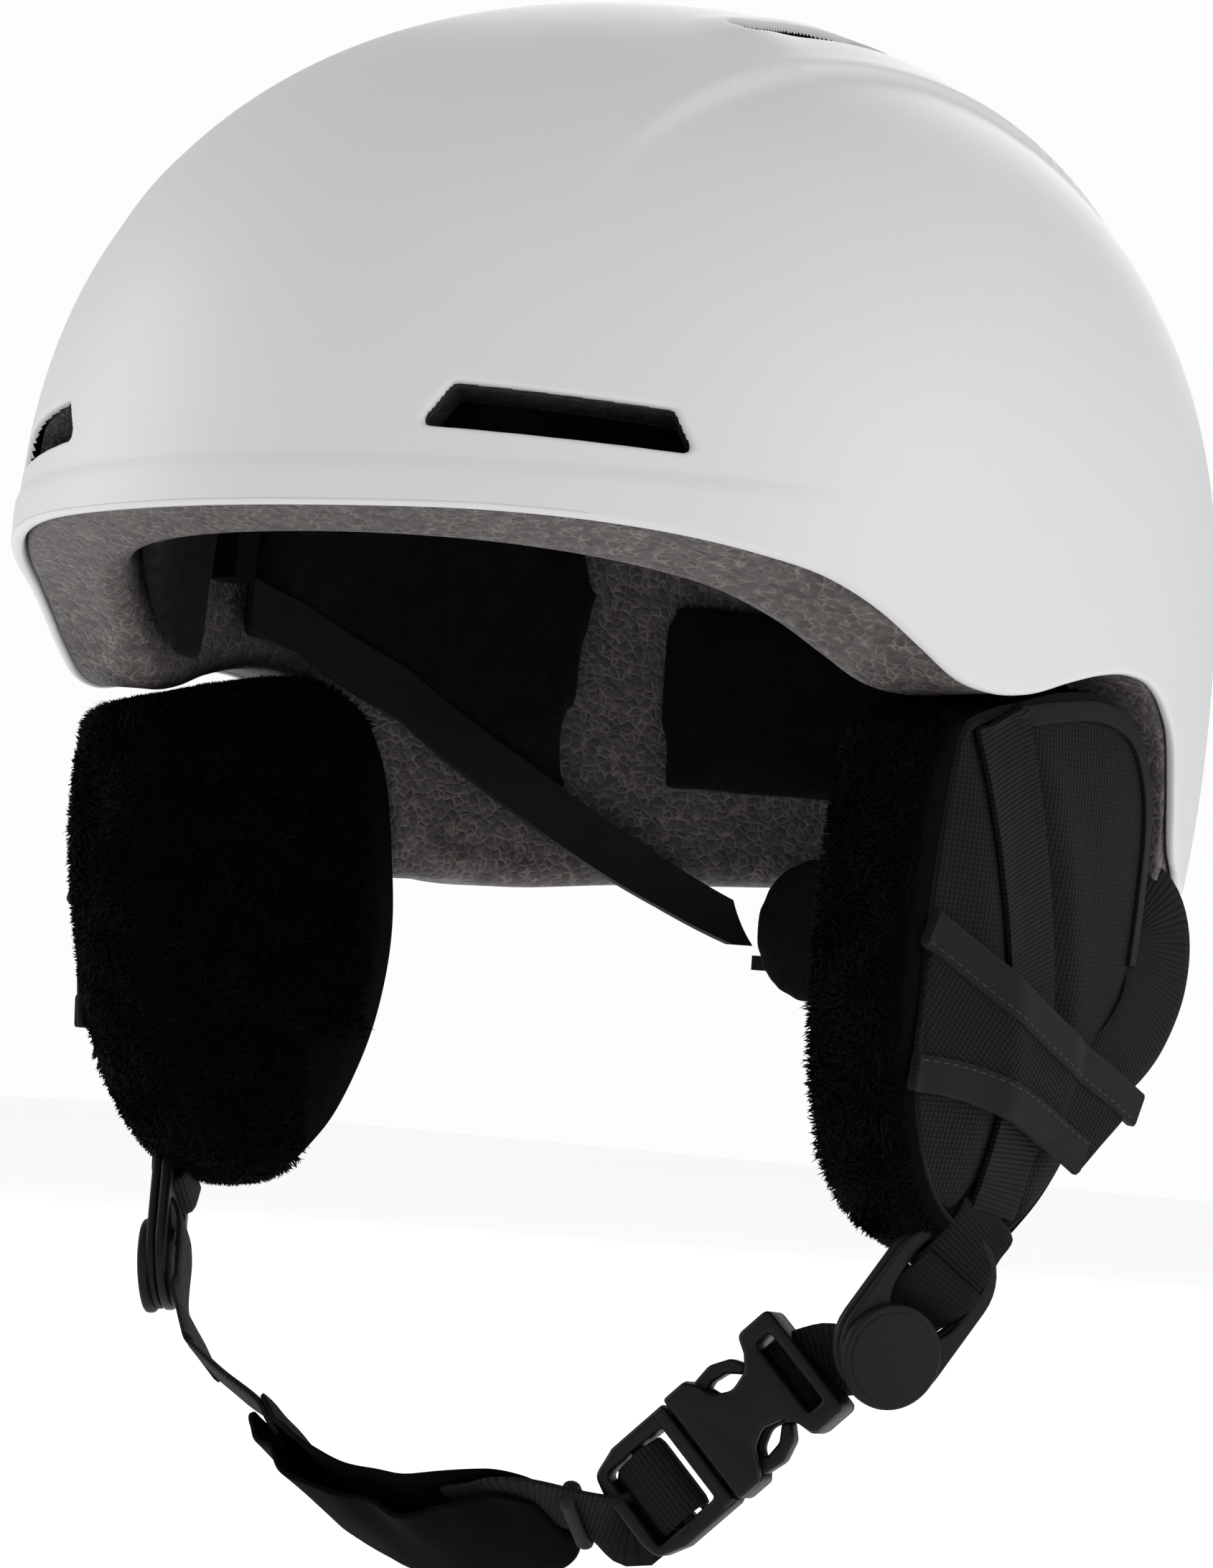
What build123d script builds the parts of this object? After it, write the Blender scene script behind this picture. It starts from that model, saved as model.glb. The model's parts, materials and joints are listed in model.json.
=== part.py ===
"""Snow helmet: shell, energy absorbing liner, padding, size adjuster, ear pads and chin straps.

+Z is up, the wearer looks along -Y and the wearer's left is +X. The origin is on the
mid-plane, half-way along the shell, level with the front brim. Sizes are in mm.
"""
from build123d import *
import os
from functools import cache
from math import sin, cos, pi, radians, sqrt

os.makedirs("parts", exist_ok=True)

# ---------------------------------------------------------------- head form sizes
SHELL_HALF_LENGTH = 136.0
SHELL_HALF_WIDTH = 113.0
EGG_1 = 0.12            # the plan is an egg, fuller in front of the ears than behind
EGG_2 = -0.09
CROWN_EXP = 2.28        # squareness of the side and front profile
WIDEST_Z = -3.5         # level of the widest ring
CROWN_H = 117.5         # rise from the widest ring to the crown
SKIRT_H = 158.0         # the same for the inward curve under the widest ring
RING_POINTS = 24
SKIRT_LEVELS = [-64, -34, -4]
CROWN_LEVELS = [.25, .45, .62, .76, .865, .935, .975, .992, .9985]   # fractions of the rise

# insets of the layers from the outside of the shell
SHELL_T = 2.0
BOND_GAP = 0.3
EPS_T = 19.5
EPS_OUTER = SHELL_T + BOND_GAP
EPS_INNER = EPS_OUTER + EPS_T
DISC_OUTER = EPS_INNER + 0.1
DISC_INNER = DISC_OUTER + 1.2
COMFORT_OUTER = DISC_INNER + 0.1
COMFORT_INNER = COMFORT_OUTER + 5.0
BAND_OUTER = COMFORT_INNER + 0.4
BAND_INNER = BAND_OUTER + 1.4

REACH = 150             # half size of a cutter that spans the whole helmet

WEB_W = 15.0            # strap webbing
WEB_T = 1.5

# side profile of the lower edge, front to back, as (y, z)
SHELL_RIM = [
    (-150, 0.4), (-136, 0.0), (-121, 0.3), (-107, -0.6), (-98, -1.8), (-89, -3.5),
    (-80.5, -5.6), (-70, -10.6), (-62, -15.9), (-54.6, -20.4), (-47, -21.9), (-38, -21.1),
    (-27, -17.8), (-18, -15.5), (-6, -14.1), (4, -15.2), (12, -18.9), (18, -24.0),
    (22.7, -32.5), (28, -41), (38, -47), (55, -50), (80, -50), (110, -48.5), (136, -47),
    (150, -46.5),
]
EPS_RIM = [
    (-150, 0.9), (-136, 0.5), (-121, 0.8), (-107, -0.1), (-98, -1.3), (-89, -3.0),
    (-80.5, -5.2), (-70, -10.2), (-62, -15.5), (-54.6, -20.0), (-47, -21.5), (-38, -20.7),
    (-27, -17.4), (-18, -15.1), (-6, -13.7), (4, -14.9), (12, -18.8), (18, -24.4),
    (22.7, -33.5), (26, -44), (32, -52), (45, -54.5), (80, -52.0), (110, -49.5),
    (136, -47.5), (150, -47),
]


# ---------------------------------------------------------------- helpers
def keep(piece, name):
    """Labels a piece and writes its file."""
    piece.label = name
    export_step(piece, f"parts/{name}.step")


def keep_both(left_piece, name):
    """Writes a left piece and its mirror image."""
    for side in ("left", "right"):
        with BuildPart() as piece:
            if side == "left":
                add(left_piece)
            else:
                add(mirror(left_piece, about=Plane.YZ, mode=Mode.PRIVATE))
        keep(piece.part, f"{name}_{side}")


def ring_scale(z, height):
    """Size of the level section at z, as a fraction of the widest ring."""
    return max(1 - abs((z - WIDEST_Z) / height) ** CROWN_EXP, 0.0) ** (1 / CROWN_EXP)


@cache
def head_form(inset):
    """The shell's outside moved in by inset: level sections lofted up to the crown."""
    half_length = SHELL_HALF_LENGTH - inset
    half_width = SHELL_HALF_WIDTH - inset
    rise = CROWN_H - inset
    with BuildPart() as solid:
        for z in SKIRT_LEVELS + [WIDEST_Z + rise * part for part in CROWN_LEVELS]:
            scale = ring_scale(z, rise if z > WIDEST_Z else SKIRT_H - inset)
            points = []
            for i in range(RING_POINTS):
                angle = 2 * pi * i / RING_POINTS
                egg = 1 + EGG_1 * cos(angle) + EGG_2 * cos(angle) ** 2
                points.append((scale * half_width * egg * sin(angle),
                               -scale * half_length * cos(angle)))
            with BuildSketch(Plane.XY.offset(z)):
                with BuildLine():
                    Spline(*points, periodic=True)
                make_face()
        loft()
    return solid.part


def prism(plane, outline, bottom, top, smooth=False):
    """A plate drawn in a plane, between two heights above it."""
    with BuildPart() as plate:
        with BuildSketch(plane.offset(bottom)):
            with BuildLine():
                if smooth:
                    Spline(*outline, periodic=True)
                else:
                    Polyline(*outline, close=True)
            make_face()
        extrude(amount=top - bottom)
    return plate.part


def above(rim):
    """Everything above a rim profile."""
    with BuildPart() as block:
        with BuildSketch(Plane.YZ.offset(-REACH)):
            with BuildLine():
                Spline(*rim)
                Polyline(rim[-1], (150, 140), (-150, 140), rim[0])
            make_face()
        extrude(amount=2 * REACH)
    return block.part


def layer(outer, inner, zone):
    """The part of the layer between two insets that lies in a zone."""
    with BuildPart() as sheet:
        add(head_form(outer))
        add(head_form(inner), mode=Mode.SUBTRACT)
        add(zone, mode=Mode.INTERSECT)
    return sheet.part


def ribbon(points, width):
    """Outline of a strap of one width whose centre line runs through points."""
    left, right = [], []
    for i, (x, y) in enumerate(points):
        x0, y0 = points[max(i - 1, 0)]
        x1, y1 = points[min(i + 1, len(points) - 1)]
        span = sqrt((x1 - x0) ** 2 + (y1 - y0) ** 2)
        side_x = -(y1 - y0) / span * width / 2
        side_y = (x1 - x0) / span * width / 2
        left.append((x + side_x, y + side_y))
        right.append((x - side_x, y - side_y))
    return left + right[::-1]


def square_to(wide, along):
    """The unit vector nearest to wide that is square to the unit vector along."""
    return (wide - along * wide.dot(along)).normalized()


def bar(start, end, wide, width=WEB_W, thick=WEB_T, trim=0.0):
    """A straight run of strap whose width lies along wide, cut short of its end by trim."""
    run = end - start
    along = run.normalized()
    with BuildPart() as strap:
        with BuildSketch(Plane(origin=start, x_dir=square_to(wide, along), z_dir=along)):
            Rectangle(width, thick)
        extrude(amount=run.length - trim)
    return strap.part


def place(plane, x, y, height=0.0):
    """A point given in a plane's own frame."""
    return plane.from_local_coords(Vector(x, y, height))


def rear_plane(y, z):
    """A plane on the mid-line that faces backwards. Its local y points down."""
    return Plane(origin=(0, y, z), x_dir=(1, 0, 0), z_dir=(0, 1, 0))


# ---------------------------------------------------------------- shell and liner
FRONT_VENT = Plane(origin=(60.0, -114.5, 17.3), x_dir=(0.82, 0.572, 0), z_dir=(0.572, -0.82, 0))
REAR_VENT = Plane(origin=(44, 118, 22), x_dir=(-0.92, 0.392, 0), z_dir=(0.392, 0.92, 0))
LEFT_VENTS = [
    # long trapezoid over the brow, narrower along the top
    prism(FRONT_VENT, [(-23.5, -3.0), (24.0, -4.9), (20.0, 2.6), (-17.8, 4.8)], -48, 20),
    # crown slot that runs fore and aft
    prism(Plane.XY, [(45.5, -54), (52, -54), (56, -14), (46.5, -14)], 40, 125),
    # rear trapezoid
    prism(REAR_VENT, [(-16, -4), (16, -4), (12.5, 4), (-13.5, 4)], -50, 24),
]

# blocks in the liner's lower edge: size, then the centres on the left side
CLIP_SIZE = (2.0, 9.0, 7.2)
CLIP_CENTRES = [(97.0, -14.0, -9.2), (97.0, 4.0, -9.2)]
ANCHOR_SIZE = (3.0, 17.0, 10.0)
ANCHOR_CENTRES = [(102.5, -33.0, -10.5), (90.0, 44.0, -44.0)]
POCKET_GAP = 0.4        # clearance round a block
POCKET_DROP = 8.0       # extra depth that opens its pocket downwards


def vented_layer(outer, inner, rim, pockets=()):
    """A whole layer above its rim, with the vents and any block pockets cut out."""
    with BuildPart() as sheet:
        add(head_form(outer))
        add(head_form(inner), mode=Mode.SUBTRACT)
        add(above(rim), mode=Mode.INTERSECT)
        for vent in LEFT_VENTS:
            add(vent, mode=Mode.SUBTRACT)
            add(mirror(vent, about=Plane.YZ, mode=Mode.PRIVATE), mode=Mode.SUBTRACT)
        for (x, y, z), (length, width, height) in pockets:
            for side in (1, -1):
                with Locations((side * x, y, z - POCKET_DROP / 2)):
                    Box(length + 2 * POCKET_GAP, width + 2 * POCKET_GAP,
                        height + 2 * POCKET_GAP + POCKET_DROP, mode=Mode.SUBTRACT)
    return sheet.part


def blocks(centres, size):
    """Equal boxes at the centres and their mirror images."""
    with BuildPart() as group:
        for x, y, z in centres:
            for side in (1, -1):
                with Locations((side * x, y, z)):
                    Box(*size)
    return group.part


POCKETS = [(centre, CLIP_SIZE) for centre in CLIP_CENTRES]
POCKETS += [(centre, ANCHOR_SIZE) for centre in ANCHOR_CENTRES]

keep(vented_layer(0, SHELL_T, SHELL_RIM), "outer_shell")
keep(vented_layer(EPS_OUTER, EPS_INNER, EPS_RIM, POCKETS), "eps_liner")
keep(blocks(CLIP_CENTRES, CLIP_SIZE), "ear_pad_clips")
keep(blocks(ANCHOR_CENTRES, ANCHOR_SIZE), "strap_anchors")

# ---------------------------------------------------------------- comfort padding
# side view outlines of the pads, as (y, z)
BROW_ZONE = [
    (-150, 2.0), (-110, 2.0), (-98, 0.5), (-88, -1.5), (-78, -5), (-70, -9), (-62, -13.5),
    (-50, -18), (-40, -18), (-38, 26), (-150, 30),
]
SIDE_ZONE = [(-26, -10), (10, -10), (24, -20), (60, -34), (66, 10), (60, 26), (-22, 30)]
NAPE_ZONE = [(78, -32), (150, -32), (150, 14), (78, 14)]


def comfort_pad(zone):
    return layer(COMFORT_OUTER, COMFORT_INNER, zone)


keep(comfort_pad(prism(Plane.YZ, BROW_ZONE, -REACH, REACH)), "brow_pad")
keep_both(comfort_pad(prism(Plane.YZ, SIDE_ZONE, 0, REACH)), "side_pad")
keep(comfort_pad(prism(Plane.YZ, NAPE_ZONE, -REACH, REACH)), "nape_pad")

# a cross of one long and one wide rounded strip
with BuildPart() as crown_zone:
    with BuildSketch(Plane.XY.offset(44)):
        RectangleRounded(30, 150, 12)
        with Locations((0, 6)):
            RectangleRounded(124, 26, 12)
    extrude(amount=90)
keep(comfort_pad(crown_zone.part), "crown_pad")

# round cutters for the discs at the crown, sides, brow and nape
DISC_R = 9
BROW_DISC_R = 8
with BuildPart() as disc_zone:
    for y in (-52, 0, 52):
        with Locations((0, y, 90)):
            Cylinder(DISC_R, 80)
    for y, z in ((-8, 6), (34, 2)):
        with Locations(Location((0, y, z), (0, 90, 0))):
            Cylinder(DISC_R, 2 * REACH)
    for x in (-38, 38):
        with Locations(Location((x, -100, 14), (90, 0, 0))):
            Cylinder(BROW_DISC_R, 120)
    with Locations(Location((0, 110, -10), (90, 0, 0))):
        Cylinder(DISC_R, 60)
keep(layer(DISC_OUTER, DISC_INNER, disc_zone.part), "hook_loop_discs")

# ---------------------------------------------------------------- size adjuster: band
# side view outlines, as (y, z)
BAND_ANCHOR_ZONE = [(-36, 2), (-28, 2), (-28, 14), (-36, 14)]
BAND_ZONE = [
    (-27.8, -8), (-10, -11), (20, -22), (50, -41), (74, -57), (86, -66),
    (86, -54), (72, -43), (50, -28), (20, -10), (-10, 0), (-27.8, 3),
]
band_anchor_zone = prism(Plane.YZ, BAND_ANCHOR_ZONE, 0, REACH)
keep_both(layer(DISC_OUTER, BAND_INNER, band_anchor_zone), "fit_band_anchor")
keep_both(layer(BAND_OUTER, BAND_INNER, prism(Plane.YZ, BAND_ZONE, 0, REACH)), "fit_band")

# ---------------------------------------------------------------- size adjuster: dial
DIAL_Z = -60.0
DIAL = rear_plane(88, DIAL_Z)
CASE_W, CASE_H, CASE_CORNER = 50, 23, 5
CASE_FLOOR = 1.6
CASE_WALL = 4.4
DIAL_GAP = 0.2
LID_T = 1.4
LID_AT = CASE_FLOOR + CASE_WALL + DIAL_GAP     # heights behind the dial plane
SPRING_AT = LID_AT + LID_T + DIAL_GAP
KNOB_AT = 9.0
KNOB_R = 16.0
KNOB_T = 10.0
SCREW_SINK = 2.4        # depth of the screw head's recess
GEAR_TEETH = 10
GEAR_R = 5.0            # pitch radius
GEAR_ROOT = 3.6
GEAR_TIP = 5.65

with BuildPart() as dial_housing:
    with BuildSketch(DIAL):
        RectangleRounded(CASE_W, CASE_H, CASE_CORNER)
    extrude(amount=CASE_FLOOR)
    with BuildSketch(DIAL.offset(CASE_FLOOR)):
        for side in (1, -1):
            with Locations((0, side * 10.5)):
                Rectangle(40, 2)
    extrude(amount=CASE_WALL)
keep(dial_housing.part, "dial_housing")

with BuildPart() as dial_cover:
    with BuildSketch(DIAL.offset(LID_AT)):
        RectangleRounded(CASE_W, CASE_H, CASE_CORNER)
        Circle(4.6, mode=Mode.SUBTRACT)
    extrude(amount=LID_T)
keep(dial_cover.part, "dial_cover")

# an open ring with its gap at the bottom
with BuildPart() as detent_spring:
    with BuildSketch(DIAL.offset(SPRING_AT)):
        Circle(11)
        Circle(9.4, mode=Mode.SUBTRACT)
        with Locations((0, 10.5)):
            Rectangle(5, 6, mode=Mode.SUBTRACT)
    extrude(amount=0.8)
keep(detent_spring.part, "detent_spring")

# gear, then the shaft behind it, then the screw bore
PINION_TOOTH = [
    (-0.95, GEAR_ROOT), (-0.52, GEAR_R), (-0.25, GEAR_TIP),
    (0.25, GEAR_TIP), (0.52, GEAR_R), (0.95, GEAR_ROOT),
]
with BuildPart() as dial_pinion:
    with BuildSketch(DIAL.offset(2.1)):
        Circle(4.1)
        for i in range(GEAR_TEETH):
            with Locations(Location((0, 0, 0), (0, 0, 360 * i / GEAR_TEETH))):
                with BuildLine():
                    Polyline(*PINION_TOOTH, close=True)
                make_face()
    extrude(amount=3.0)
    with BuildSketch(DIAL.offset(5.0)):
        Circle(4.0)
    extrude(amount=8.0)
    with BuildSketch(DIAL.offset(1.7)):
        Circle(1.2)
    extrude(amount=12, mode=Mode.SUBTRACT)
keep(dial_pinion.part, "dial_pinion")

# scalloped knob with a shaft socket, a screw hole and a recess for the screw head
with BuildPart() as dial_knob:
    with BuildSketch(DIAL.offset(KNOB_AT)):
        Circle(KNOB_R)
        with PolarLocations(KNOB_R + 0.7, 24):
            Circle(1.5, mode=Mode.SUBTRACT)
    extrude(amount=KNOB_T)
    with BuildSketch(DIAL.offset(KNOB_AT)):
        Circle(4.0)
    extrude(amount=4.0, mode=Mode.SUBTRACT)
    with BuildSketch(DIAL.offset(KNOB_AT)):
        Circle(1.7)
    extrude(amount=12, mode=Mode.SUBTRACT)
    with BuildSketch(DIAL.offset(KNOB_AT + KNOB_T - SCREW_SINK)):
        Circle(3.4)
    extrude(amount=4, mode=Mode.SUBTRACT)
keep(dial_knob.part, "dial_knob")

SCREW_START = 5.0
SCREW_HEAD_AT = KNOB_AT + KNOB_T - SCREW_SINK + 0.1
with BuildPart() as dial_screw:
    with BuildSketch(DIAL.offset(SCREW_START)):
        Circle(1.15)
    extrude(amount=SCREW_HEAD_AT - SCREW_START)
    with BuildSketch(DIAL.offset(SCREW_HEAD_AT)):
        Circle(3.0)
        Rectangle(4.4, 0.8, mode=Mode.SUBTRACT)
        Rectangle(0.8, 4.4, mode=Mode.SUBTRACT)
    extrude(amount=1.6)
keep(dial_screw.part, "dial_screw")

RACK_X0, RACK_X1 = -14.0, 32.0
RACK_BACK = 9.2         # distances from the pinion's axis
RACK_ROOT = 5.95
RACK_FLANK = [(0.85, RACK_ROOT), (0.52, GEAR_R), (0.3, 4.5)]    # half width of a tooth, distance


def rack(sign):
    """A toothed strap end: 1 is above the pinion and reaches to the wearer's left, -1 opposite."""
    pitch = 2 * pi * GEAR_R / GEAR_TEETH
    outline = [(RACK_X0, RACK_BACK), (RACK_X1, RACK_BACK), (RACK_X1, RACK_ROOT)]
    for i in range(3, -5, -1):
        middle = pitch * (i + 0.5)
        outline += [(middle + half, y) for half, y in RACK_FLANK]
        outline += [(middle - half, y) for half, y in RACK_FLANK[::-1]]
    outline += [(RACK_X0, RACK_ROOT)]
    return prism(DIAL, [(sign * x, -sign * y) for x, y in outline], 2.2, 5.0)


keep(rack(1), "rack_left")
keep(rack(-1), "rack_right")

with BuildPart() as cradle_pad:
    with BuildSketch(rear_plane(84, DIAL_Z)):
        RectangleRounded(58, 34, 13)
    extrude(amount=3.6)
keep(cradle_pad.part, "cradle_pad")

with BuildPart() as cradle_hanger:
    with BuildSketch(rear_plane(88.2, -34)):
        RectangleRounded(20, 28, 4)
    extrude(amount=1.4)
keep(cradle_hanger.part, "cradle_hanger")

# ---------------------------------------------------------------- ear pads, drawn for the left
PAD_TILT = radians(5.0)  # the pads lean in towards the jaw
PAD_X = 102.0            # outer face at mid height
PAD_Z = -65.0
COVER_T = 1.2
FOAM_T = 12.0
FLEECE_T = 9.0
PAD_GAP = 0.1
FOAM_TOP = -COVER_T - PAD_GAP                  # heights outside the pad's outer face
FLEECE_TOP = FOAM_TOP - FOAM_T - PAD_GAP
WEB_GAP = 0.4
FRONT_WEB_AT = 1.2
REAR_WEB_AT = FRONT_WEB_AT + WEB_T + WEB_GAP
KEEPER_AT = REAR_WEB_AT + WEB_T + WEB_GAP
EAR_SIDE = Plane(origin=(PAD_X, 0, PAD_Z), x_dir=(0, 1, 0),
                 z_dir=(cos(PAD_TILT), 0, -sin(PAD_TILT)))

# outlines and strap centre lines, as (y, z)
PAD_EDGE = [
    (-57, -40), (-58, -55), (-56.5, -72), (-52, -91), (-43, -108), (-30, -119), (-14, -122),
    (0, -114), (11, -100), (18, -85), (22, -68), (21.5, -50), (19.5, -36), (15, -26.5),
    (8, -21), (-4, -18.2), (-18, -19.4), (-32, -22.8), (-45, -25.8), (-53, -29),
]
BINDING_LINE = [
    (-34, -27.5), (-20, -24), (-6, -22.5), (6, -25), (12.5, -31), (16, -40), (17.5, -52),
    (17.5, -66),
]
FRONT_WEB = [
    (-41, -26), (-34, -36), (-27.5, -48), (-22.5, -60), (-18, -74), (-14.5, -90),
    (-14, -106), (-17, -114),
]
REAR_WEB = [(34, -59), (37, -68), (33, -79), (25, -88), (14, -96), (2, -103), (-9, -110)]
KEEPER_EDGE = [
    (-50, -64), (-20, -76), (12, -86), (28, -93), (12, -103), (0, -109), (-20, -103), (-47, -95),
]

# strap divider frame: the disc's centre, length direction and outward normal
DIVIDER_C = Vector(86, -33, -139.6)
DIVIDER = Plane(origin=DIVIDER_C, x_dir=Vector(0.361, 0.416, 0.834).normalized(),
                z_dir=Vector(0.84, -0.53, -0.10).normalized())


def ear_plate(outline, bottom, top, smooth=False):
    """A plate parallel to the pad's outer face."""
    return prism(EAR_SIDE, [(y, z - PAD_Z) for y, z in outline], bottom, top, smooth)


def inset_edge(points, inset):
    """The points moved towards their mean by inset."""
    mean_y = sum(point[0] for point in points) / len(points)
    mean_z = sum(point[1] for point in points) / len(points)
    moved = []
    for y, z in points:
        radius = sqrt((y - mean_y) ** 2 + (z - mean_z) ** 2)
        scale = (radius - inset) / radius
        moved.append((mean_y + (y - mean_y) * scale, mean_z + (z - mean_z) * scale))
    return moved


# clearance round the strap divider, cut from the cover and foam
with BuildPart() as divider_relief:
    with BuildSketch(DIVIDER.offset(-0.4)):
        with Locations((11.5, 0)):
            SlotOverall(44.0, 24.4)
        Circle(10.8)
    extrude(amount=12)


def relieved(solid):
    with BuildPart() as piece:
        add(solid)
        add(divider_relief.part, mode=Mode.SUBTRACT)
    return piece.part


foam_edge = inset_edge(PAD_EDGE, 2.0)
keep_both(relieved(ear_plate(PAD_EDGE, -COVER_T, 0, smooth=True)), "ear_pad_cover")
keep_both(relieved(ear_plate(foam_edge, FOAM_TOP - FOAM_T, FOAM_TOP, smooth=True)),
          "ear_pad_foam")
keep_both(ear_plate(PAD_EDGE, FLEECE_TOP - FLEECE_T, FLEECE_TOP, smooth=True), "ear_pad_fleece")

# binding along the top and rear edge of the cover
keep_both(ear_plate(ribbon(BINDING_LINE, 4), 0.1, 1.0), "ear_pad_binding")

# the two straps cross over the pad under the keeper
for line, height, name in ((FRONT_WEB, FRONT_WEB_AT, "front_web"),
                           (REAR_WEB, REAR_WEB_AT, "rear_web")):
    keep_both(ear_plate(ribbon(line, WEB_W), height, height + WEB_T), name)
keep_both(ear_plate(KEEPER_EDGE, KEEPER_AT, KEEPER_AT + 1.4), "strap_keeper")

# ---------------------------------------------------------------- strap dividers
BODY_X, WINDOW_X = 9.5, 15      # centres of the slot-shaped body and of its window
BASE_T = 2.2
LID_BOTTOM = BASE_T + 0.1
DIVIDER_LID_T = 1.8

with BuildPart() as divider_base:
    with BuildSketch(DIVIDER):
        with Locations((BODY_X, 0)):
            SlotOverall(37, 22)
        with Locations((WINDOW_X, 0)):
            SlotOverall(20, 15, mode=Mode.SUBTRACT)
        with Locations((14, 0)):
            Rectangle(3.0, 16)
    extrude(amount=BASE_T)
keep_both(divider_base.part, "divider_base")

with BuildPart() as divider_lid:
    with BuildSketch(DIVIDER.offset(LID_BOTTOM)):
        with Locations((BODY_X, 0)):
            SlotOverall(36, 21)
        with Locations((WINDOW_X, 0)):
            SlotOverall(21, 15.4, mode=Mode.SUBTRACT)
    extrude(amount=DIVIDER_LID_T)
    with BuildSketch(DIVIDER.offset(LID_BOTTOM + DIVIDER_LID_T)):
        Circle(9.6)
    extrude(amount=1.8)
keep_both(divider_lid.part, "divider_lid")

# ---------------------------------------------------------------- side release buckle
# local x runs towards the chin pad, local y points down, the normal faces forward
BUCKLE = Plane(origin=Vector(60, -43, -157.5),
               x_dir=Vector(-0.667, -0.242, -0.706).normalized(),
               z_dir=Vector(0.271, -0.964, 0.0746).normalized())
FEMALE_T = 9
CAVITY_T = 5.6
FEMALE_EDGE = [
    (-22, -11.5), (-13.5, -11.5), (-9, -9.6), (-3, -9.6), (0, -11.5), (4, -11.5),
    (4, 11.5), (0, 11.5), (-3, 9.6), (-9, 9.6), (-13.5, 11.5), (-22, 11.5),
]
PRONG_T = 4.6
PRONG_EDGE = [
    (4.3, 6.2), (4.3, 8.8), (0.5, 8.4), (-0.6, 10.6), (-6, 11.2), (-10.4, 9.2),
    (-12, 6.8), (-10, 6.0), (-6, 8.0), (-2, 7.2),
]

# body, central cavity, side windows, then the strap slot
with BuildPart() as buckle_female:
    with BuildSketch(BUCKLE.offset(-FEMALE_T / 2)):
        with BuildLine():
            Polyline(*FEMALE_EDGE, close=True)
        make_face()
    extrude(amount=FEMALE_T)
    with BuildSketch(BUCKLE.offset(-CAVITY_T / 2)):
        with Locations((-4.4, 0)):
            Rectangle(18, 19.4)
    extrude(amount=CAVITY_T, mode=Mode.SUBTRACT)
    with BuildSketch(BUCKLE.offset(-CAVITY_T / 2)):
        for side in (1, -1):
            with Locations((-5.3, side * 10)):
                Rectangle(11.6, 8)
    extrude(amount=CAVITY_T, mode=Mode.SUBTRACT)
    with BuildSketch(BUCKLE.offset(-6)):
        with Locations((-17.7, 0)):
            SlotOverall(16.6, 3.6, rotation=90)
    extrude(amount=12, mode=Mode.SUBTRACT)
keep(buckle_female.part, "buckle_female")

# shoulder, frame with two strap slots, then the central tongue
with BuildPart() as buckle_male:
    with BuildSketch(BUCKLE.offset(-3.6)):
        with Locations((6.3, 0)):
            Rectangle(3.6, 21.6)
    extrude(amount=7.2)
    with BuildSketch(BUCKLE.offset(-2.4)):
        with Locations((15, 0)):
            RectangleRounded(15, 21, 2)
        for x in (11.2, 18.2):
            with Locations((x, 0)):
                Rectangle(3.6, 16, mode=Mode.SUBTRACT)
    extrude(amount=4.8)
    with BuildSketch(BUCKLE.offset(-1.5)):
        with Locations((-2.6, 0)):
            Rectangle(14.4, 4.6)
    extrude(amount=3.0)
keep(buckle_male.part, "buckle_male")

for sign, name in ((1, "buckle_prong_upper"), (-1, "buckle_prong_lower")):
    prong_edge = [(x, -sign * y) for x, y in PRONG_EDGE]
    keep(prism(BUCKLE, prong_edge, -PRONG_T / 2, PRONG_T / 2), name)

# ---------------------------------------------------------------- chin straps
CHIN_WIDE = Vector(0.0, 0.83, -0.56)            # width direction of the straps at the chin
CHIN = Plane(origin=(0, -56, -178), x_dir=(1, 0, 0), z_dir=CHIN_WIDE)  # local y: down, forward

# left side: divider to buckle, then buckle to chin pad
buckle_end = place(BUCKLE, -20.2, 0) + Vector(1.5, 0.6, 1.8)
divider_end = place(DIVIDER, -2, 0, -1.4) + Vector(-2.5, 0, 1.0)
keep(bar(buckle_end, divider_end, BUCKLE.y_dir, trim=0.8), "divider_web")

male_end = place(BUCKLE, 24.2, 0)
pad_corner = Vector(27, -58, -172.5)
web_end = pad_corner + Vector(-9, 0.5, -2.0)
web_start = male_end + (pad_corner - male_end).normalized() * 0.3
keep(bar(web_start, web_end, CHIN_WIDE), "chin_web")

# the strap's free end, folded over the front of the male half
keep(bar(place(BUCKLE, 9.6, 0, 3.3), place(BUCKLE, 20.0, 0, 3.3), BUCKLE.y_dir,
         width=WEB_W - 0.2, thick=1.3), "web_tail")

web_along = (web_end - male_end).normalized()
ring_plane = Plane(origin=male_end + web_along * 8.0, x_dir=square_to(CHIN_WIDE, web_along),
                   z_dir=web_along)
with BuildPart() as web_keeper_ring:
    with BuildSketch(ring_plane):
        RectangleRounded(19.4, 6.2, 1.6)
        Rectangle(15.8, 2.6, mode=Mode.SUBTRACT)
    extrude(amount=3.0)
keep(web_keeper_ring.part, "web_keeper_ring")

# centre line of the chin pad in its own plane, as (x, y), right to left
CHIN_LINE = [(-44, -13.5), (-34, -6.5), (-22, -1.0), (-8, 1.8), (6, 1.6), (18, -1.2), (29, -5.6)]
keep(prism(CHIN, ribbon(CHIN_LINE, 5.0), -12, 22), "chin_pad")

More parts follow.
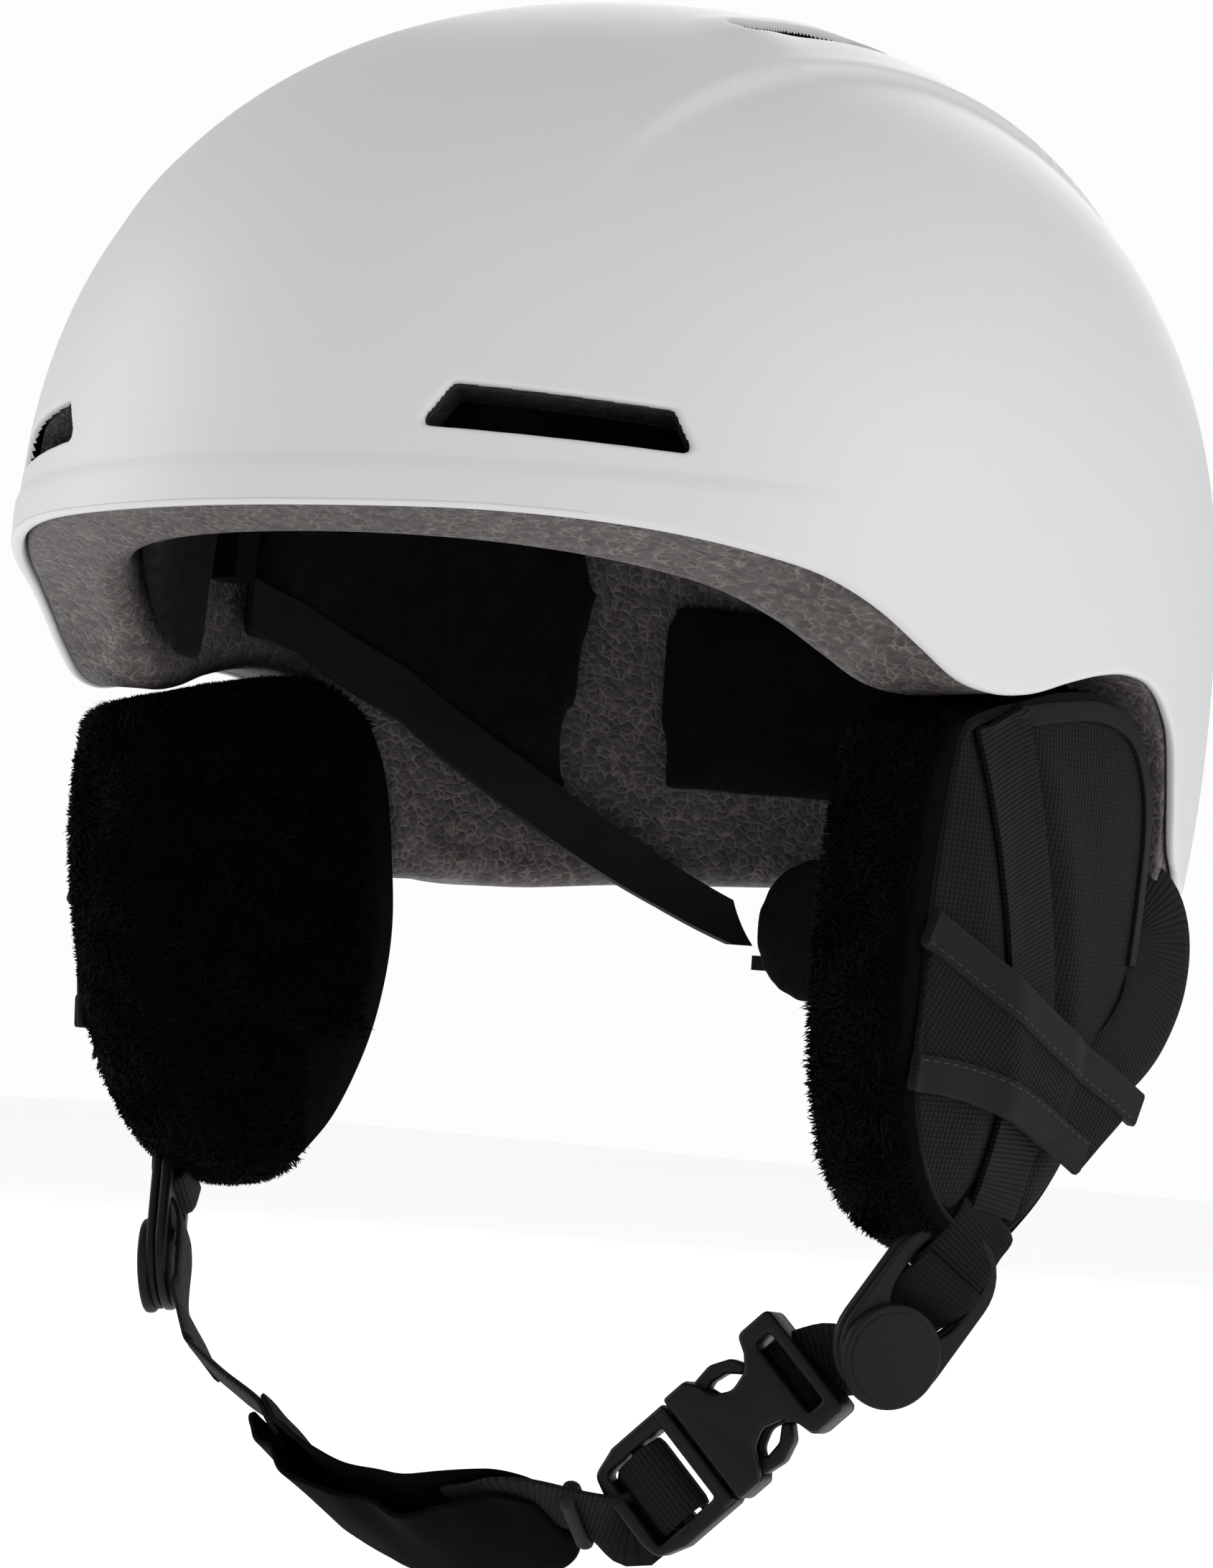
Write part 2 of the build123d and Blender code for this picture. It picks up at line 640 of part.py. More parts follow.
# right side: chin pad to divider in two runs
lower_start = place(CHIN, -44.6, -14.0) + Vector(-0.4, 0.1, 0.3)
midway = Vector(-64, -47, -156)
upper_end = Vector(-DIVIDER_C.X, DIVIDER_C.Y, DIVIDER_C.Z) + Vector(2.9, 0.0, -3.0)
keep(bar(lower_start, midway, CHIN_WIDE, trim=3.8), "chin_web_right_lower")
keep(bar(midway, upper_end, Vector(0.2, 0.75, -0.6), trim=5.6), "chin_web_right_upper")

# ---------------------------------------------------------------- goggle strap retainer, rear
STUD_Z = -40

with BuildPart() as goggle_clip_anchor:
    with BuildSketch(rear_plane(136.4, -11)):
        RectangleRounded(22, 9, 3)
    extrude(amount=2.0)
keep(goggle_clip_anchor.part, "goggle_clip_anchor")

with BuildPart() as goggle_clip_strap:
    with BuildSketch(rear_plane(136.6, -31)):
        RectangleRounded(15, 30, 5)
        with Locations((0, 9)):
            Circle(2.6, mode=Mode.SUBTRACT)
    extrude(amount=1.8)
keep(goggle_clip_strap.part, "goggle_clip_strap")

# round head, then its stem through the strap's hole
with BuildPart() as goggle_clip_cap:
    with BuildSketch(rear_plane(138.6, STUD_Z)):
        Circle(5.2)
    extrude(amount=1.4)
    with BuildSketch(rear_plane(136.9, STUD_Z)):
        Circle(2.4)
    extrude(amount=2.0)
keep(goggle_clip_cap.part, "goggle_clip_cap")

with BuildPart() as goggle_clip_stud:
    with BuildSketch(rear_plane(134.65, STUD_Z)):
        Circle(4.0)
    extrude(amount=1.6)
keep(goggle_clip_stud.part, "goggle_clip_stud")
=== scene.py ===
# A snow helmet with ear pads, chin strap and side-release buckle, built over its CAD pieces.
# Lengths are in millimetres and turned into metres by MM, except where a comment says otherwise.
# The front faces -y, the wearer's left is +x and z is up.
import bpy
import bmesh
import json
import math
from collections import namedtuple
from functools import partial
import numpy as np
from mathutils import Matrix, Vector


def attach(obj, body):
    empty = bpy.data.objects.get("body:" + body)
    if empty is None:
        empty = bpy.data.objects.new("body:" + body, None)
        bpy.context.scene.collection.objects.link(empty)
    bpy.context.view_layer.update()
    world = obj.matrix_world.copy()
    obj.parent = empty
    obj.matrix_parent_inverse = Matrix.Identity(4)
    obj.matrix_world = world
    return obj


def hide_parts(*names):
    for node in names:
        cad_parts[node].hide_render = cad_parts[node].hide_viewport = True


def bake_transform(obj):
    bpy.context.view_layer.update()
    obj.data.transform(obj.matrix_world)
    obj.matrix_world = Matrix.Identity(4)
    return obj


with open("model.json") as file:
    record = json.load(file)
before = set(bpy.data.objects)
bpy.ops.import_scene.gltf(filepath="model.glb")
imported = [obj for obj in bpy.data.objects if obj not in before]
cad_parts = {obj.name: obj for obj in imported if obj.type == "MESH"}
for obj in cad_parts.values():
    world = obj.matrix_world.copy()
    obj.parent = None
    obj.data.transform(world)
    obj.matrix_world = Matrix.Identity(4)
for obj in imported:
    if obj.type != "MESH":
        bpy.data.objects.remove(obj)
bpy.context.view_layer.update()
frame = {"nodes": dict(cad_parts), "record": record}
MM = 0.001
SIDES = (("left", 1), ("right", -1))
QUARTER, HALF_TURN = math.pi / 2, math.pi

# ---------------------------------------------------------------- head form
HALF_LENGTH, HALF_WIDTH = 136.0, 113.0
WIDTH_SKEW = (0.12, -0.09)        # change of width with cos(heading) and its square
ROUNDNESS = 2.28                  # exponent of the superellipse
WIDEST_Z, RISE, FALL = -3.5, 117.5, 158.0   # widest level, and the form's reach above and below it

# Lower edges as (y, z), front to back
SHELL_RIM = [
    (-150, 0.4), (-136, 0.0), (-121, 0.3), (-107, -0.6), (-98, -1.8), (-89, -3.5),
    (-80.5, -5.6), (-70, -10.6), (-62, -15.9), (-54.6, -20.4), (-47, -21.9), (-38, -21.1),
    (-27, -17.8), (-18, -15.5), (-6, -14.1), (4, -15.2), (12, -18.9), (18, -24.0),
    (22.7, -32.5), (28, -41), (38, -47), (55, -50), (80, -50), (110, -48.5), (136, -47),
    (150, -46.5)]
FOAM_RIM = [
    (-150, 0.9), (-136, 0.5), (-121, 0.8), (-107, -0.1), (-98, -1.3), (-89, -3.0),
    (-80.5, -5.2), (-70, -10.2), (-62, -15.5), (-54.6, -20.0), (-47, -21.5), (-38, -20.7),
    (-27, -17.4), (-18, -15.1), (-6, -13.7), (4, -14.9), (12, -18.8), (18, -24.4),
    (22.7, -33.5), (26, -44), (32, -52), (45, -54.5), (80, -52.0), (110, -49.5),
    (136, -47.5), (150, -47)]


def unit(vector):
    vector = np.array(vector, float)
    return vector / np.linalg.norm(vector)


def smoothstep(t):
    t = np.clip(t, 0, 1)
    return t * t * (3 - 2 * t)


def bell(value, centre, spread):
    return np.exp(-((value - centre) / spread) ** 2)


def curve_through(table):
    """A smooth cubic curve through (x, y) points, as a function of x."""
    x, y = np.array(table, float).T
    span = np.diff(x)
    slope = np.diff(y) / span
    tangent = np.zeros_like(y)
    tangent[0], tangent[-1] = slope[0], slope[-1]
    tangent[1:-1] = (slope[:-1] * span[1:] + slope[1:] * span[:-1]) / (span[1:] + span[:-1])

    def curve(at):
        at = np.clip(np.asarray(at, float), x[0], x[-1])
        k = np.clip(np.searchsorted(x, at) - 1, 0, len(span) - 1)
        t = (at - x[k]) / span[k]
        return ((2 * t**3 - 3 * t**2 + 1) * y[k]
                + (t**3 - 2 * t**2 + t) * span[k] * tangent[k]
                + (-2 * t**3 + 3 * t**2) * y[k + 1]
                + (t**3 - t**2) * span[k] * tangent[k + 1])
    return curve


shell_rim, foam_rim = curve_through(SHELL_RIM), curve_through(FOAM_RIM)


def form_point(heading, shrink, z, inset):
    """A point of the form; heading 0 is the front, shrink scales its level section."""
    c = np.cos(heading)
    width = (HALF_WIDTH - inset) * (1 + WIDTH_SKEW[0] * c + WIDTH_SKEW[1] * c * c)
    return np.stack([shrink * width * np.sin(heading), -shrink * (HALF_LENGTH - inset) * c, z], -1)


def by_level(heading, z, inset=0.0):
    """A point of the form by heading and height."""
    reach = np.where(z > WIDEST_Z, RISE - inset, FALL - inset)
    shrink = np.maximum(1 - np.abs((z - WIDEST_Z) / reach) ** ROUNDNESS, 0) ** (1 / ROUNDNESS)
    return form_point(heading, shrink, z, inset)


def by_angle(heading, angle, inset=0.0):
    """A point of the form by heading and elevation angle; a quarter turn is the crown."""
    reach = np.where(angle > 0, RISE - inset, FALL - inset)
    shrink = np.abs(np.cos(angle)) ** (2 / ROUNDNESS)
    z = WIDEST_Z + np.sign(angle) * reach * np.abs(np.sin(angle)) ** (2 / ROUNDNESS)
    return form_point(heading, shrink, z, inset)


def elevation(z, inset=0.0):
    reach = np.where(z > WIDEST_Z, RISE - inset, FALL - inset)
    level = np.clip(np.abs((z - WIDEST_Z) / reach), 0, 1)
    return np.sign(z - WIDEST_Z) * np.arcsin(level ** (ROUNDNESS / 2))


def dome_row(heading, base_angle, share, inset=0.0):
    """A row part of the way from a base angle to the crown."""
    return by_angle(heading, base_angle + (QUARTER - base_angle) * share, inset)


def outward(points):
    """Outward normals of the form."""
    x, y, z = points[..., 0], points[..., 1], points[..., 2]
    reach = np.where(z > WIDEST_Z, RISE, FALL)
    level = np.sqrt((x / HALF_WIDTH) ** 2 + (y / HALF_LENGTH) ** 2) + 1e-6
    level = level ** (ROUNDNESS - 2)
    height = (z - WIDEST_Z) / reach
    normal = np.stack([level * x / HALF_WIDTH**2, level * y / HALF_LENGTH**2,
                       np.sign(height) * np.abs(height) ** (ROUNDNESS - 1) / reach], -1)
    return normal / np.linalg.norm(normal, axis=-1, keepdims=True)


def rim_height(rim, heading, inset):
    """Height where the form meets a rim curve, found by damped repetition."""
    z = np.full_like(heading, -10.0)
    for _ in range(120):
        z = 0.75 * z + 0.25 * rim(by_level(heading, z, inset)[..., 1])
    return z


def sculpt(points):
    """Styling of the outer face, as an offset along the normal."""
    x, y, z = np.abs(points[..., 0]), points[..., 1], points[..., 2]
    # side crease: the face drops just outboard of it and swells slightly inboard
    crease_x = 54.7 + (y + 105.7) * 0.163 - 0.0006 * np.maximum(y + 40, 0) ** 2
    depth = 1.7 * smoothstep((y + 108) / 40) * smoothstep((62 - y) / 60)
    depth = depth * smoothstep((z - 35) / 30)
    outboard = np.maximum(x - crease_x, 0)
    offset = -depth * np.exp(-outboard / 17.0) * (1 - np.exp(-outboard / 0.9))
    offset += 0.22 * depth * bell(x - crease_x, -1.2, 2.2)
    # brim lip, a soft step above the front edge that fades towards the ears
    offset += (0.7 * smoothstep((9.5 - z) / 3.0) * smoothstep((z + 12) / 8)
               * smoothstep((-y - 70) / 30))
    # ridges in front of and beside each crown vent
    offset += 1.5 * bell(x, 51, 7.5) * bell(y, -53, 8.0) * (z > 50)
    offset += (0.5 * bell(x, 43, 3.0) * smoothstep((y + 60) / 12)
               * smoothstep((-8 - y) / 14) * (z > 50))
    return offset


# ---------------------------------------------------------------- vents
# origin, direction across, direction out, corners as (across, up), corner radius, lowest z.
# "up" is +z for the front and rear vents, and rearward for the crown vents.
LEFT_VENTS = (
    ((60.0, -114.5, 17.3), (0.82, 0.572, 0), (0.572, -0.82, 0),
     [(-23.5, -3.0), (24.0, -4.9), (20.0, 2.6), (-17.8, 4.8)], 1.2, -math.inf),
    ((0.0, 0, 90), (1, 0, 0), (0, 0, 1),
     [(45.5, -54), (52, -54), (56, -14), (46.5, -14)], 2.2, 60),
    ((44.0, 118, 22), (-0.92, 0.392, 0), (0.392, 0.92, 0),
     [(-16, -4), (16, -4), (12.5, 4), (-13.5, 4)], 1.6, -math.inf))
VENT_REACH = 40           # how far from its plane a vent acts
LIP_RADIUS = 0.8          # rounding of the shell's edge round a vent
Vent = namedtuple("Vent", "origin across up out outline radius lowest")


def make_vents():
    vents = []
    for _, sign in SIDES:
        for origin, across, out, outline, radius, lowest in LEFT_VENTS:
            mirror = np.array([sign, 1, 1])
            across, out = unit(across * mirror), unit(out * mirror)
            vents.append(Vent(origin * mirror, across, sign * np.cross(out, across), out,
                              outline, radius, lowest))
    return vents


VENTS = make_vents()


def signed_area(outline):
    x, y = outline[:, 0], outline[:, 1]
    return 0.5 * np.sum(x * np.roll(y, -1) - np.roll(x, -1) * y)


def vent_local(vent, points):
    """Points in the vent's own plane, and which of them are close enough to matter."""
    offset = points - vent.origin
    near = (np.abs(offset @ vent.out) < VENT_REACH) & (points[..., 2] > vent.lowest)
    return np.stack([offset @ vent.across, offset @ vent.up], -1), near


def vent_distance(vent, points):
    """Signed distance to the vent's rounded outline, positive outside."""
    corners = np.array(vent.outline, float)
    if signed_area(corners) < 0:
        corners = corners[::-1]
    along = np.roll(corners, -1, axis=0) - corners
    along /= np.linalg.norm(along, axis=1, keepdims=True)
    # corners of the outline shrunk by the corner radius
    moved = corners + np.stack([-along[:, 1], along[:, 0]], 1) * vent.radius
    inner = []
    for i in range(len(corners)):
        t = np.linalg.solve(np.array([along[i - 1], -along[i]]).T, moved[i] - moved[i - 1])
        inner.append(moved[i - 1] + along[i - 1] * t[0])
    best = np.full(points.shape[:-1], 1e9)
    inside = np.ones(points.shape[:-1], bool)
    for i, start in enumerate(inner):
        edge = inner[(i + 1) % len(inner)] - start
        rel = points - start
        t = np.clip((rel @ edge) / (edge @ edge), 0, 1)
        best = np.minimum(best, np.linalg.norm(rel - t[..., None] * edge, axis=-1))
        inside &= (edge[0] * rel[..., 1] - edge[1] * rel[..., 0]) > 0
    return np.where(inside, -best, best) - vent.radius


def round_vent_lips(points, normal):
    """Rolls the face into every vent; also returns how deep each point lies inside one."""
    inside = np.zeros(points.shape[:-1])
    step = 0.05
    for vent in VENTS:
        flat, near = vent_local(vent, points)
        distance = vent_distance(vent, flat)
        slope_x, slope_y = [
            (vent_distance(vent, flat + d) - vent_distance(vent, flat - d)) / (2 * step)
            for d in (np.array([step, 0]), np.array([0, step]))]
        length = np.hypot(slope_x, slope_y) + 1e-9
        angle = (1 - np.clip(distance, 0.0, LIP_RADIUS) / LIP_RADIUS) * QUARTER
        shift = (LIP_RADIUS * (1 - np.sin(angle)) - distance) / length
        down = LIP_RADIUS * (1 - np.cos(angle)) + np.clip(-distance, 0, 3) * 1.2
        move = ((slope_x * shift)[..., None] * vent.across
                + (slope_y * shift)[..., None] * vent.up)
        move = move - normal * (move * normal).sum(-1, keepdims=True)
        chosen = near & (distance < LIP_RADIUS)
        points[chosen] = (points + move - normal * down[..., None])[chosen]
        inside[chosen] = np.maximum(inside[chosen], -distance[chosen])
    return points, inside


# ---------------------------------------------------------------- mesh helpers
def link_object(name, data):
    ob = bpy.data.objects.new(name, data)
    bpy.context.scene.collection.objects.link(ob)
    return ob


def new_object(name, points, faces, smooth=True, uv=None):
    """An object from points in millimetres; uv gives one pair per point."""
    mesh = bpy.data.meshes.new(name)
    points = np.asarray(points, float).reshape(-1, 3) * MM
    mesh.from_pydata(points.tolist(), [], [tuple(int(i) for i in f) for f in faces])
    if uv is not None:
        layer = mesh.uv_layers.new(name="UVMap")
        index = np.zeros(len(mesh.loops), np.int32)
        mesh.loops.foreach_get("vertex_index", index)
        uv = np.asarray(uv, np.float32).reshape(-1, 2)
        layer.data.foreach_set("uv", uv[index].ravel())
    if smooth:
        mesh.shade_smooth()
    mesh.validate()
    return link_object(name, mesh)


def grid_faces(rows, columns, wrap=True):
    i = np.arange(rows - 1)[:, None]
    j = np.arange(columns if wrap else columns - 1)[None, :]
    after = (j + 1) % columns
    corners = [i * columns + j, i * columns + after,
               (i + 1) * columns + after, (i + 1) * columns + j]
    return np.stack(corners, -1).reshape(-1, 4)


def end_loops(rows, columns):
    return tuple(range(columns)), tuple(range((rows - 1) * columns, rows * columns))


def tube_faces(rows, columns):
    """A tube closed at both ends."""
    first, last = end_loops(rows, columns)
    return list(grid_faces(rows, columns)) + [first, last[::-1]]


def ring_faces(rows, columns):
    """A tube whose last row joins its first."""
    return grid_faces(rows + 1, columns) % (rows * columns)


def tidy(ob, merge=0.0, drop_loose=False):
    """Makes the normals agree, after any merging or clearing of vertices."""
    bm = bmesh.new()
    bm.from_mesh(ob.data)
    if drop_loose:
        loose = [v for v in bm.verts if not v.link_faces]
        bmesh.ops.delete(bm, geom=loose, context="VERTS")
    if merge:
        bmesh.ops.remove_doubles(bm, verts=bm.verts, dist=merge * MM)
    bmesh.ops.recalc_face_normals(bm, faces=bm.faces)
    bm.to_mesh(ob.data)
    bm.free()
    return ob


def sharpen(ob, degrees):
    ob.data.set_sharp_from_angle(angle=math.radians(degrees))
    return ob


def read_points(mesh, kind="co"):
    values = np.zeros(len(mesh.vertices) * 3)
    mesh.vertices.foreach_get(kind, values)
    return values.reshape(-1, 3)


def write_points(mesh, points):
    mesh.vertices.foreach_set("co", points.ravel())
    mesh.update()


def apply_modifiers(ob):
    depsgraph = bpy.context.evaluated_depsgraph_get()
    mesh = bpy.data.meshes.new_from_object(ob.evaluated_get(depsgraph))
    old = ob.data
    ob.modifiers.clear()
    ob.data = mesh
    bpy.data.meshes.remove(old)


def join(objects, name):
    bm = bmesh.new()
    for ob in objects:
        bm.from_mesh(ob.data)
    mesh = bpy.data.meshes.new(name)
    bm.to_mesh(mesh)
    bm.free()
    for ob in objects:
        bpy.data.objects.remove(ob)
    return link_object(name, mesh)


def dress(ob, finish):
    ob.data.materials.clear()
    ob.data.materials.append(MATERIALS[finish])
    return ob


def place(ob, body, slot, *nodes):
    """Parents a piece to the body it moves with and hides the CAD nodes it stands for."""
    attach(ob, body)
    if nodes:
        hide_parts(*nodes)


def place_pair(ob, base, slot, *nodes, body="{}_side"):
    """Places a left piece and its mirror image."""
    ob.name = base + "_left"
    mesh = ob.data.copy()
    points = read_points(mesh)
    points[:, 0] *= -1
    mesh.vertices.foreach_set("co", points.ravel())
    mesh.flip_normals()
    mesh.update()
    twin = link_object(base + "_right", mesh)
    for piece, side in ((ob, "left"), (twin, "right")):
        place(piece, body.format(side), slot, *[f"{node}_{side}" for node in nodes])


# ---------------------------------------------------------------- shader helpers
def feed(node, **values):
    """Links sockets and sets plain values; "_" in a key stands for a space."""
    for key, value in values.items():
        socket = node.inputs[key.replace("_", " ")]
        if isinstance(value, bpy.types.NodeSocket):
            node.id_data.links.new(value, socket)
        else:
            socket.default_value = value
    return node


def new_material(name):
    material = bpy.data.materials.new(name)
    material.use_nodes = True
    tree = material.node_tree
    return material, tree, tree.nodes["Principled BSDF"]


def add(tree, kind, **values):
    return feed(tree.nodes.new("ShaderNode" + kind), **values)


def math_node(tree, operation, *values):
    node = add(tree, "Math")
    node.operation = operation
    for socket, value in zip(node.inputs, values):
        if isinstance(value, (int, float)):
            socket.default_value = value
        else:
            tree.links.new(value, socket)
    return node.outputs[0]


def mix_node(tree, data_type, factor, a, b):
    node = add(tree, "Mix")
    node.data_type = data_type
    return feed(node, Factor=factor, A=a, B=b).outputs["Result"]


def ramp(tree, factor, *stops):
    """Colour ramp; each stop is (position, colour), a bare number being a grey."""
    node = add(tree, "ValToRGB")
    elements = node.color_ramp.elements
    while len(elements) < len(stops):
        elements.new(0.5)
    for element, (position, colour) in zip(elements, stops):
        element.position = position
        element.color = (*(colour if isinstance(colour, tuple) else (colour,) * 3), 1)
    tree.links.new(factor, node.inputs[0])
    return node.outputs[0]


def bump(tree, height, strength, distance):
    """Bump normal; distance is in metres."""
    return add(tree, "Bump", Strength=strength, Distance=distance, Height=height).outputs[0]


def coords(tree, kind="Object"):
    return add(tree, "TexCoord").outputs[kind]


def noise(tree, vector, scale, detail=2.0, roughness=0.5, output="Fac"):
    return add(tree, "TexNoise", Scale=scale, Detail=detail, Roughness=roughness,
               Vector=vector).outputs[output]


# ---------------------------------------------------------------- materials
def shell_material():
    material, tree, surface = new_material("shell_white")
    position = coords(tree)
    broad = noise(tree, position, scale=9.0, detail=3)
    fine = noise(tree, position, scale=1500.0)
    feed(surface,
         Base_Color=ramp(tree, broad, (0.3, (0.640, 0.641, 0.652)), (0.7, (0.668, 0.669, 0.680))),
         Roughness=ramp(tree, fine, (0.3, 0.42), (0.7, 0.52)),
         Specular_IOR_Level=0.42, Coat_Weight=0.08, Coat_Roughness=0.35,
         Normal=bump(tree, fine, strength=0.05, distance=0.00006))
    return material


def foam_material():
    """Fused foam beads: warped cells with pale, patchy seams."""
    material, tree, surface = new_material("eps_foam")
    position = coords(tree)
    warp = add(tree, "VectorMath")
    warp.operation = "MULTIPLY_ADD"
    wobble = noise(tree, position, scale=300, output="Color")
    tree.links.new(wobble, warp.inputs[0])
    warp.inputs[1].default_value = (0.0017,) * 3
    tree.links.new(position, warp.inputs[2])
    cells = {}
    for feature in ("DISTANCE_TO_EDGE", "F1"):
        cells[feature] = add(tree, "TexVoronoi", Scale=520, Vector=warp.outputs[0])
        cells[feature].feature = feature
    to_edge = cells["DISTANCE_TO_EDGE"].outputs["Distance"]
    seam = ramp(tree, to_edge, (0.0, 1.0), (0.05, 0.5), (0.16, 0.0))
    patch = ramp(tree, noise(tree, position, scale=420, detail=3), (0.42, 0.05), (0.62, 1.0))
    channels = add(tree, "SeparateColor", Color=cells["F1"].outputs["Color"])
    bead = ramp(tree, channels.outputs[0],
                (0.0, (0.050, 0.044, 0.042)), (1.0, (0.086, 0.077, 0.074)))
    colour = mix_node(tree, "RGBA", math_node(tree, "MULTIPLY", seam, patch),
                      bead, (0.200, 0.180, 0.168, 1))
    fine = noise(tree, position, scale=2200)
    height = math_node(tree, "MULTIPLY_ADD", fine, 0.18,
                       ramp(tree, to_edge, (0.0, 0.0), (0.25, 1.0)))
    feed(surface, Base_Color=colour, Roughness=0.62, Specular_IOR_Level=0.35,
         Normal=bump(tree, height, strength=0.55, distance=0.00035))
    return material


def thread_phases(tree, u_pitch, v_pitch):
    """UV coordinates as phases that gain half a turn per pitch; the UV maps are in mm."""
    split = add(tree, "SeparateXYZ", Vector=coords(tree, "UV"))
    return (math_node(tree, "MULTIPLY", split.outputs[0], math.pi / u_pitch),
            math_node(tree, "MULTIPLY", split.outputs[1], math.pi / v_pitch))


def wave(tree, phase):
    return math_node(tree, "ABSOLUTE", math_node(tree, "SINE", phase))


def finish_fabric(tree, surface, height, dark, light, roughness, strength, distance, sheen):
    """Colour, fuzz and relief common to the woven materials."""
    position = coords(tree)
    calc = partial(math_node, tree)
    patches = noise(tree, position, scale=60, detail=3)
    fuzz = noise(tree, position, scale=3500)
    # painted shade and highlight: the colour follows the weave's height, darker in the gaps
    # between yarns and lighter on the raised yarns; the noise patches add random tone of the cloth
    relief_shade_and_tone = calc("ADD", calc("MULTIPLY", height, 0.75), calc("MULTIPLY", patches, 0.30))
    relief = calc("MULTIPLY_ADD", fuzz, 0.25, height)
    feed(surface, Base_Color=ramp(tree, relief_shade_and_tone, (0.15, dark), (0.95, light)),
         Roughness=roughness, Specular_IOR_Level=0.10, Sheen_Weight=sheen,
         Sheen_Roughness=0.5, Sheen_Tint=(0.9, 0.9, 1.0, 1),
         Normal=bump(tree, relief, strength, distance))


def basket_material():
    """Basket weave of thick yarns."""
    material, tree, surface = new_material("ballistic_weave")
    calc = partial(math_node, tree)
    pitch = 1.15
    u, v = thread_phases(tree, pitch, pitch * 0.8)
    cell_u, cell_v = [calc("FLOOR", calc("DIVIDE", phase, math.pi)) for phase in (u, v)]
    odd = calc("MODULO", calc("ABSOLUTE", calc("ADD", cell_u, cell_v)), 2.0)
    odd = calc("ABSOLUTE", calc("SUBTRACT", odd, 0.0))
    wave_u, wave_v = wave(tree, u), wave(tree, v)
    warp, weft = [calc("MULTIPLY", calc("POWER", a, 0.45), calc("POWER", b, 0.9))
                  for a, b in ((wave_u, wave_v), (wave_v, wave_u))]
    height = mix_node(tree, "FLOAT", odd, warp, calc("MULTIPLY", weft, 0.8))
    finish_fabric(tree, surface, height, dark=0.0010, light=(0.0072, 0.0069, 0.0072),
                  roughness=0.78, strength=0.9, distance=0.00035, sheen=0.03)
    return material


def webbing_material():
    """Ribs across the strap and fine yarns along it."""
    material, tree, surface = new_material("webbing")
    calc = partial(math_node, tree)
    u, v = thread_phases(tree, 0.9, 0.42)
    ribs = calc("MULTIPLY", calc("POWER", wave(tree, u), 0.7), 0.8)
    height = calc("ADD", ribs, calc("MULTIPLY", wave(tree, v), 0.2))
    finish_fabric(tree, surface, height, dark=0.0008, light=(0.0088, 0.0085, 0.0088),
                  roughness=0.70, strength=1.0, distance=0.00050, sheen=0.02)
    return material


def cord_material():
    """Webbing whose plaited cords run along its length."""
    material, tree, surface = new_material("webbing_cord")
    calc = partial(math_node, tree)
    u, v = thread_phases(tree, 1.0, 1.15)
    plait = calc("ADD", u, calc("MULTIPLY", wave(tree, v), 1.2))
    cords = calc("MULTIPLY", calc("POWER", wave(tree, v), 0.6), 0.55)
    height = calc("ADD", calc("MULTIPLY", wave(tree, plait), 0.45), cords)
    finish_fabric(tree, surface, height, dark=0.004, light=(0.022, 0.022, 0.025),
                  roughness=0.6, strength=0.9, distance=0.0004, sheen=0.15)
    return material


def twill_material():
    material, tree, surface = new_material("twill_tape")
    calc = partial(math_node, tree)
    u, v = thread_phases(tree, 0.62, 0.62)
    diagonal = wave(tree, calc("ADD", u, v))
    counter = wave(tree, calc("SUBTRACT", calc("MULTIPLY", u, 2.0), v))
    height = calc("ADD", calc("MULTIPLY", diagonal, 0.75), calc("MULTIPLY", counter, 0.25))
    finish_fabric(tree, surface, height, dark=0.0030, light=(0.0105, 0.0100, 0.0105),
                  roughness=0.72, strength=0.6, distance=0.0002, sheen=0.04)
    return material


def soft_material(name, dark, light, scale, distance, sheen):
    """Brushed knit, velour and foam: short fibres as layered noise."""
    material, tree, surface = new_material(name)
    position = coords(tree)
    calc = partial(math_node, tree)
    fibres = noise(tree, position, scale=scale, detail=4, roughness=0.7)
    tufts = noise(tree, position, scale=scale * 0.18, detail=3)
    height = calc("ADD", calc("MULTIPLY", fibres, 0.7), calc("MULTIPLY", tufts, 0.4))
    feed(surface, Base_Color=ramp(tree, height, (0.3, dark), (0.75, light)), Roughness=0.9,
         Specular_IOR_Level=0.04, Sheen_Weight=sheen, Sheen_Roughness=0.45,
         Sheen_Tint=(0.8, 0.8, 0.95, 1),
         Normal=bump(tree, height, strength=0.8, distance=distance))
    return material


def pile_material():
    material, tree, surface = new_material("fleece_pile")
    mottle = noise(tree, coords(tree), scale=700)
    feed(surface,
         Base_Color=ramp(tree, mottle, (0.3, (0.0006, 0.0006, 0.0009)),
                         (0.75, (0.0030, 0.0030, 0.0038))),
         Roughness=0.7, Specular_IOR_Level=0.05, Sheen_Weight=0.006, Sheen_Roughness=0.5,
         Sheen_Tint=(0.8, 0.8, 1.0, 1))
    return material


def plastic_material(name, colour, roughness):
    """Moulded plastic with a fine grain."""
    material, tree, surface = new_material(name)
    position = coords(tree)
    dark, light = [tuple(c * gain for c in colour) for gain in (0.85, 1.2)]
    broad = noise(tree, position, scale=45, detail=3)
    grain = noise(tree, position, scale=2600, detail=3)
    feed(surface, Base_Color=ramp(tree, broad, (0.3, dark), (0.7, light)),
         Roughness=ramp(tree, grain, (0.3, roughness - 0.06), (0.7, roughness + 0.08)),
         Specular_IOR_Level=0.18,
         Normal=bump(tree, grain, strength=0.12, distance=0.00008))
    return material


def steel_material():
    material, tree, surface = new_material("spring_steel")
    brushed = noise(tree, coords(tree), scale=800, detail=4)
    fine = noise(tree, coords(tree), scale=1800)
    feed(surface, Metallic=1.0, Base_Color=(0.5, 0.5, 0.52, 1),
         Roughness=ramp(tree, brushed, (0.3, 0.30), (0.7, 0.45)),
         Normal=bump(tree, fine, strength=0.1, distance=0.00005))
    return material


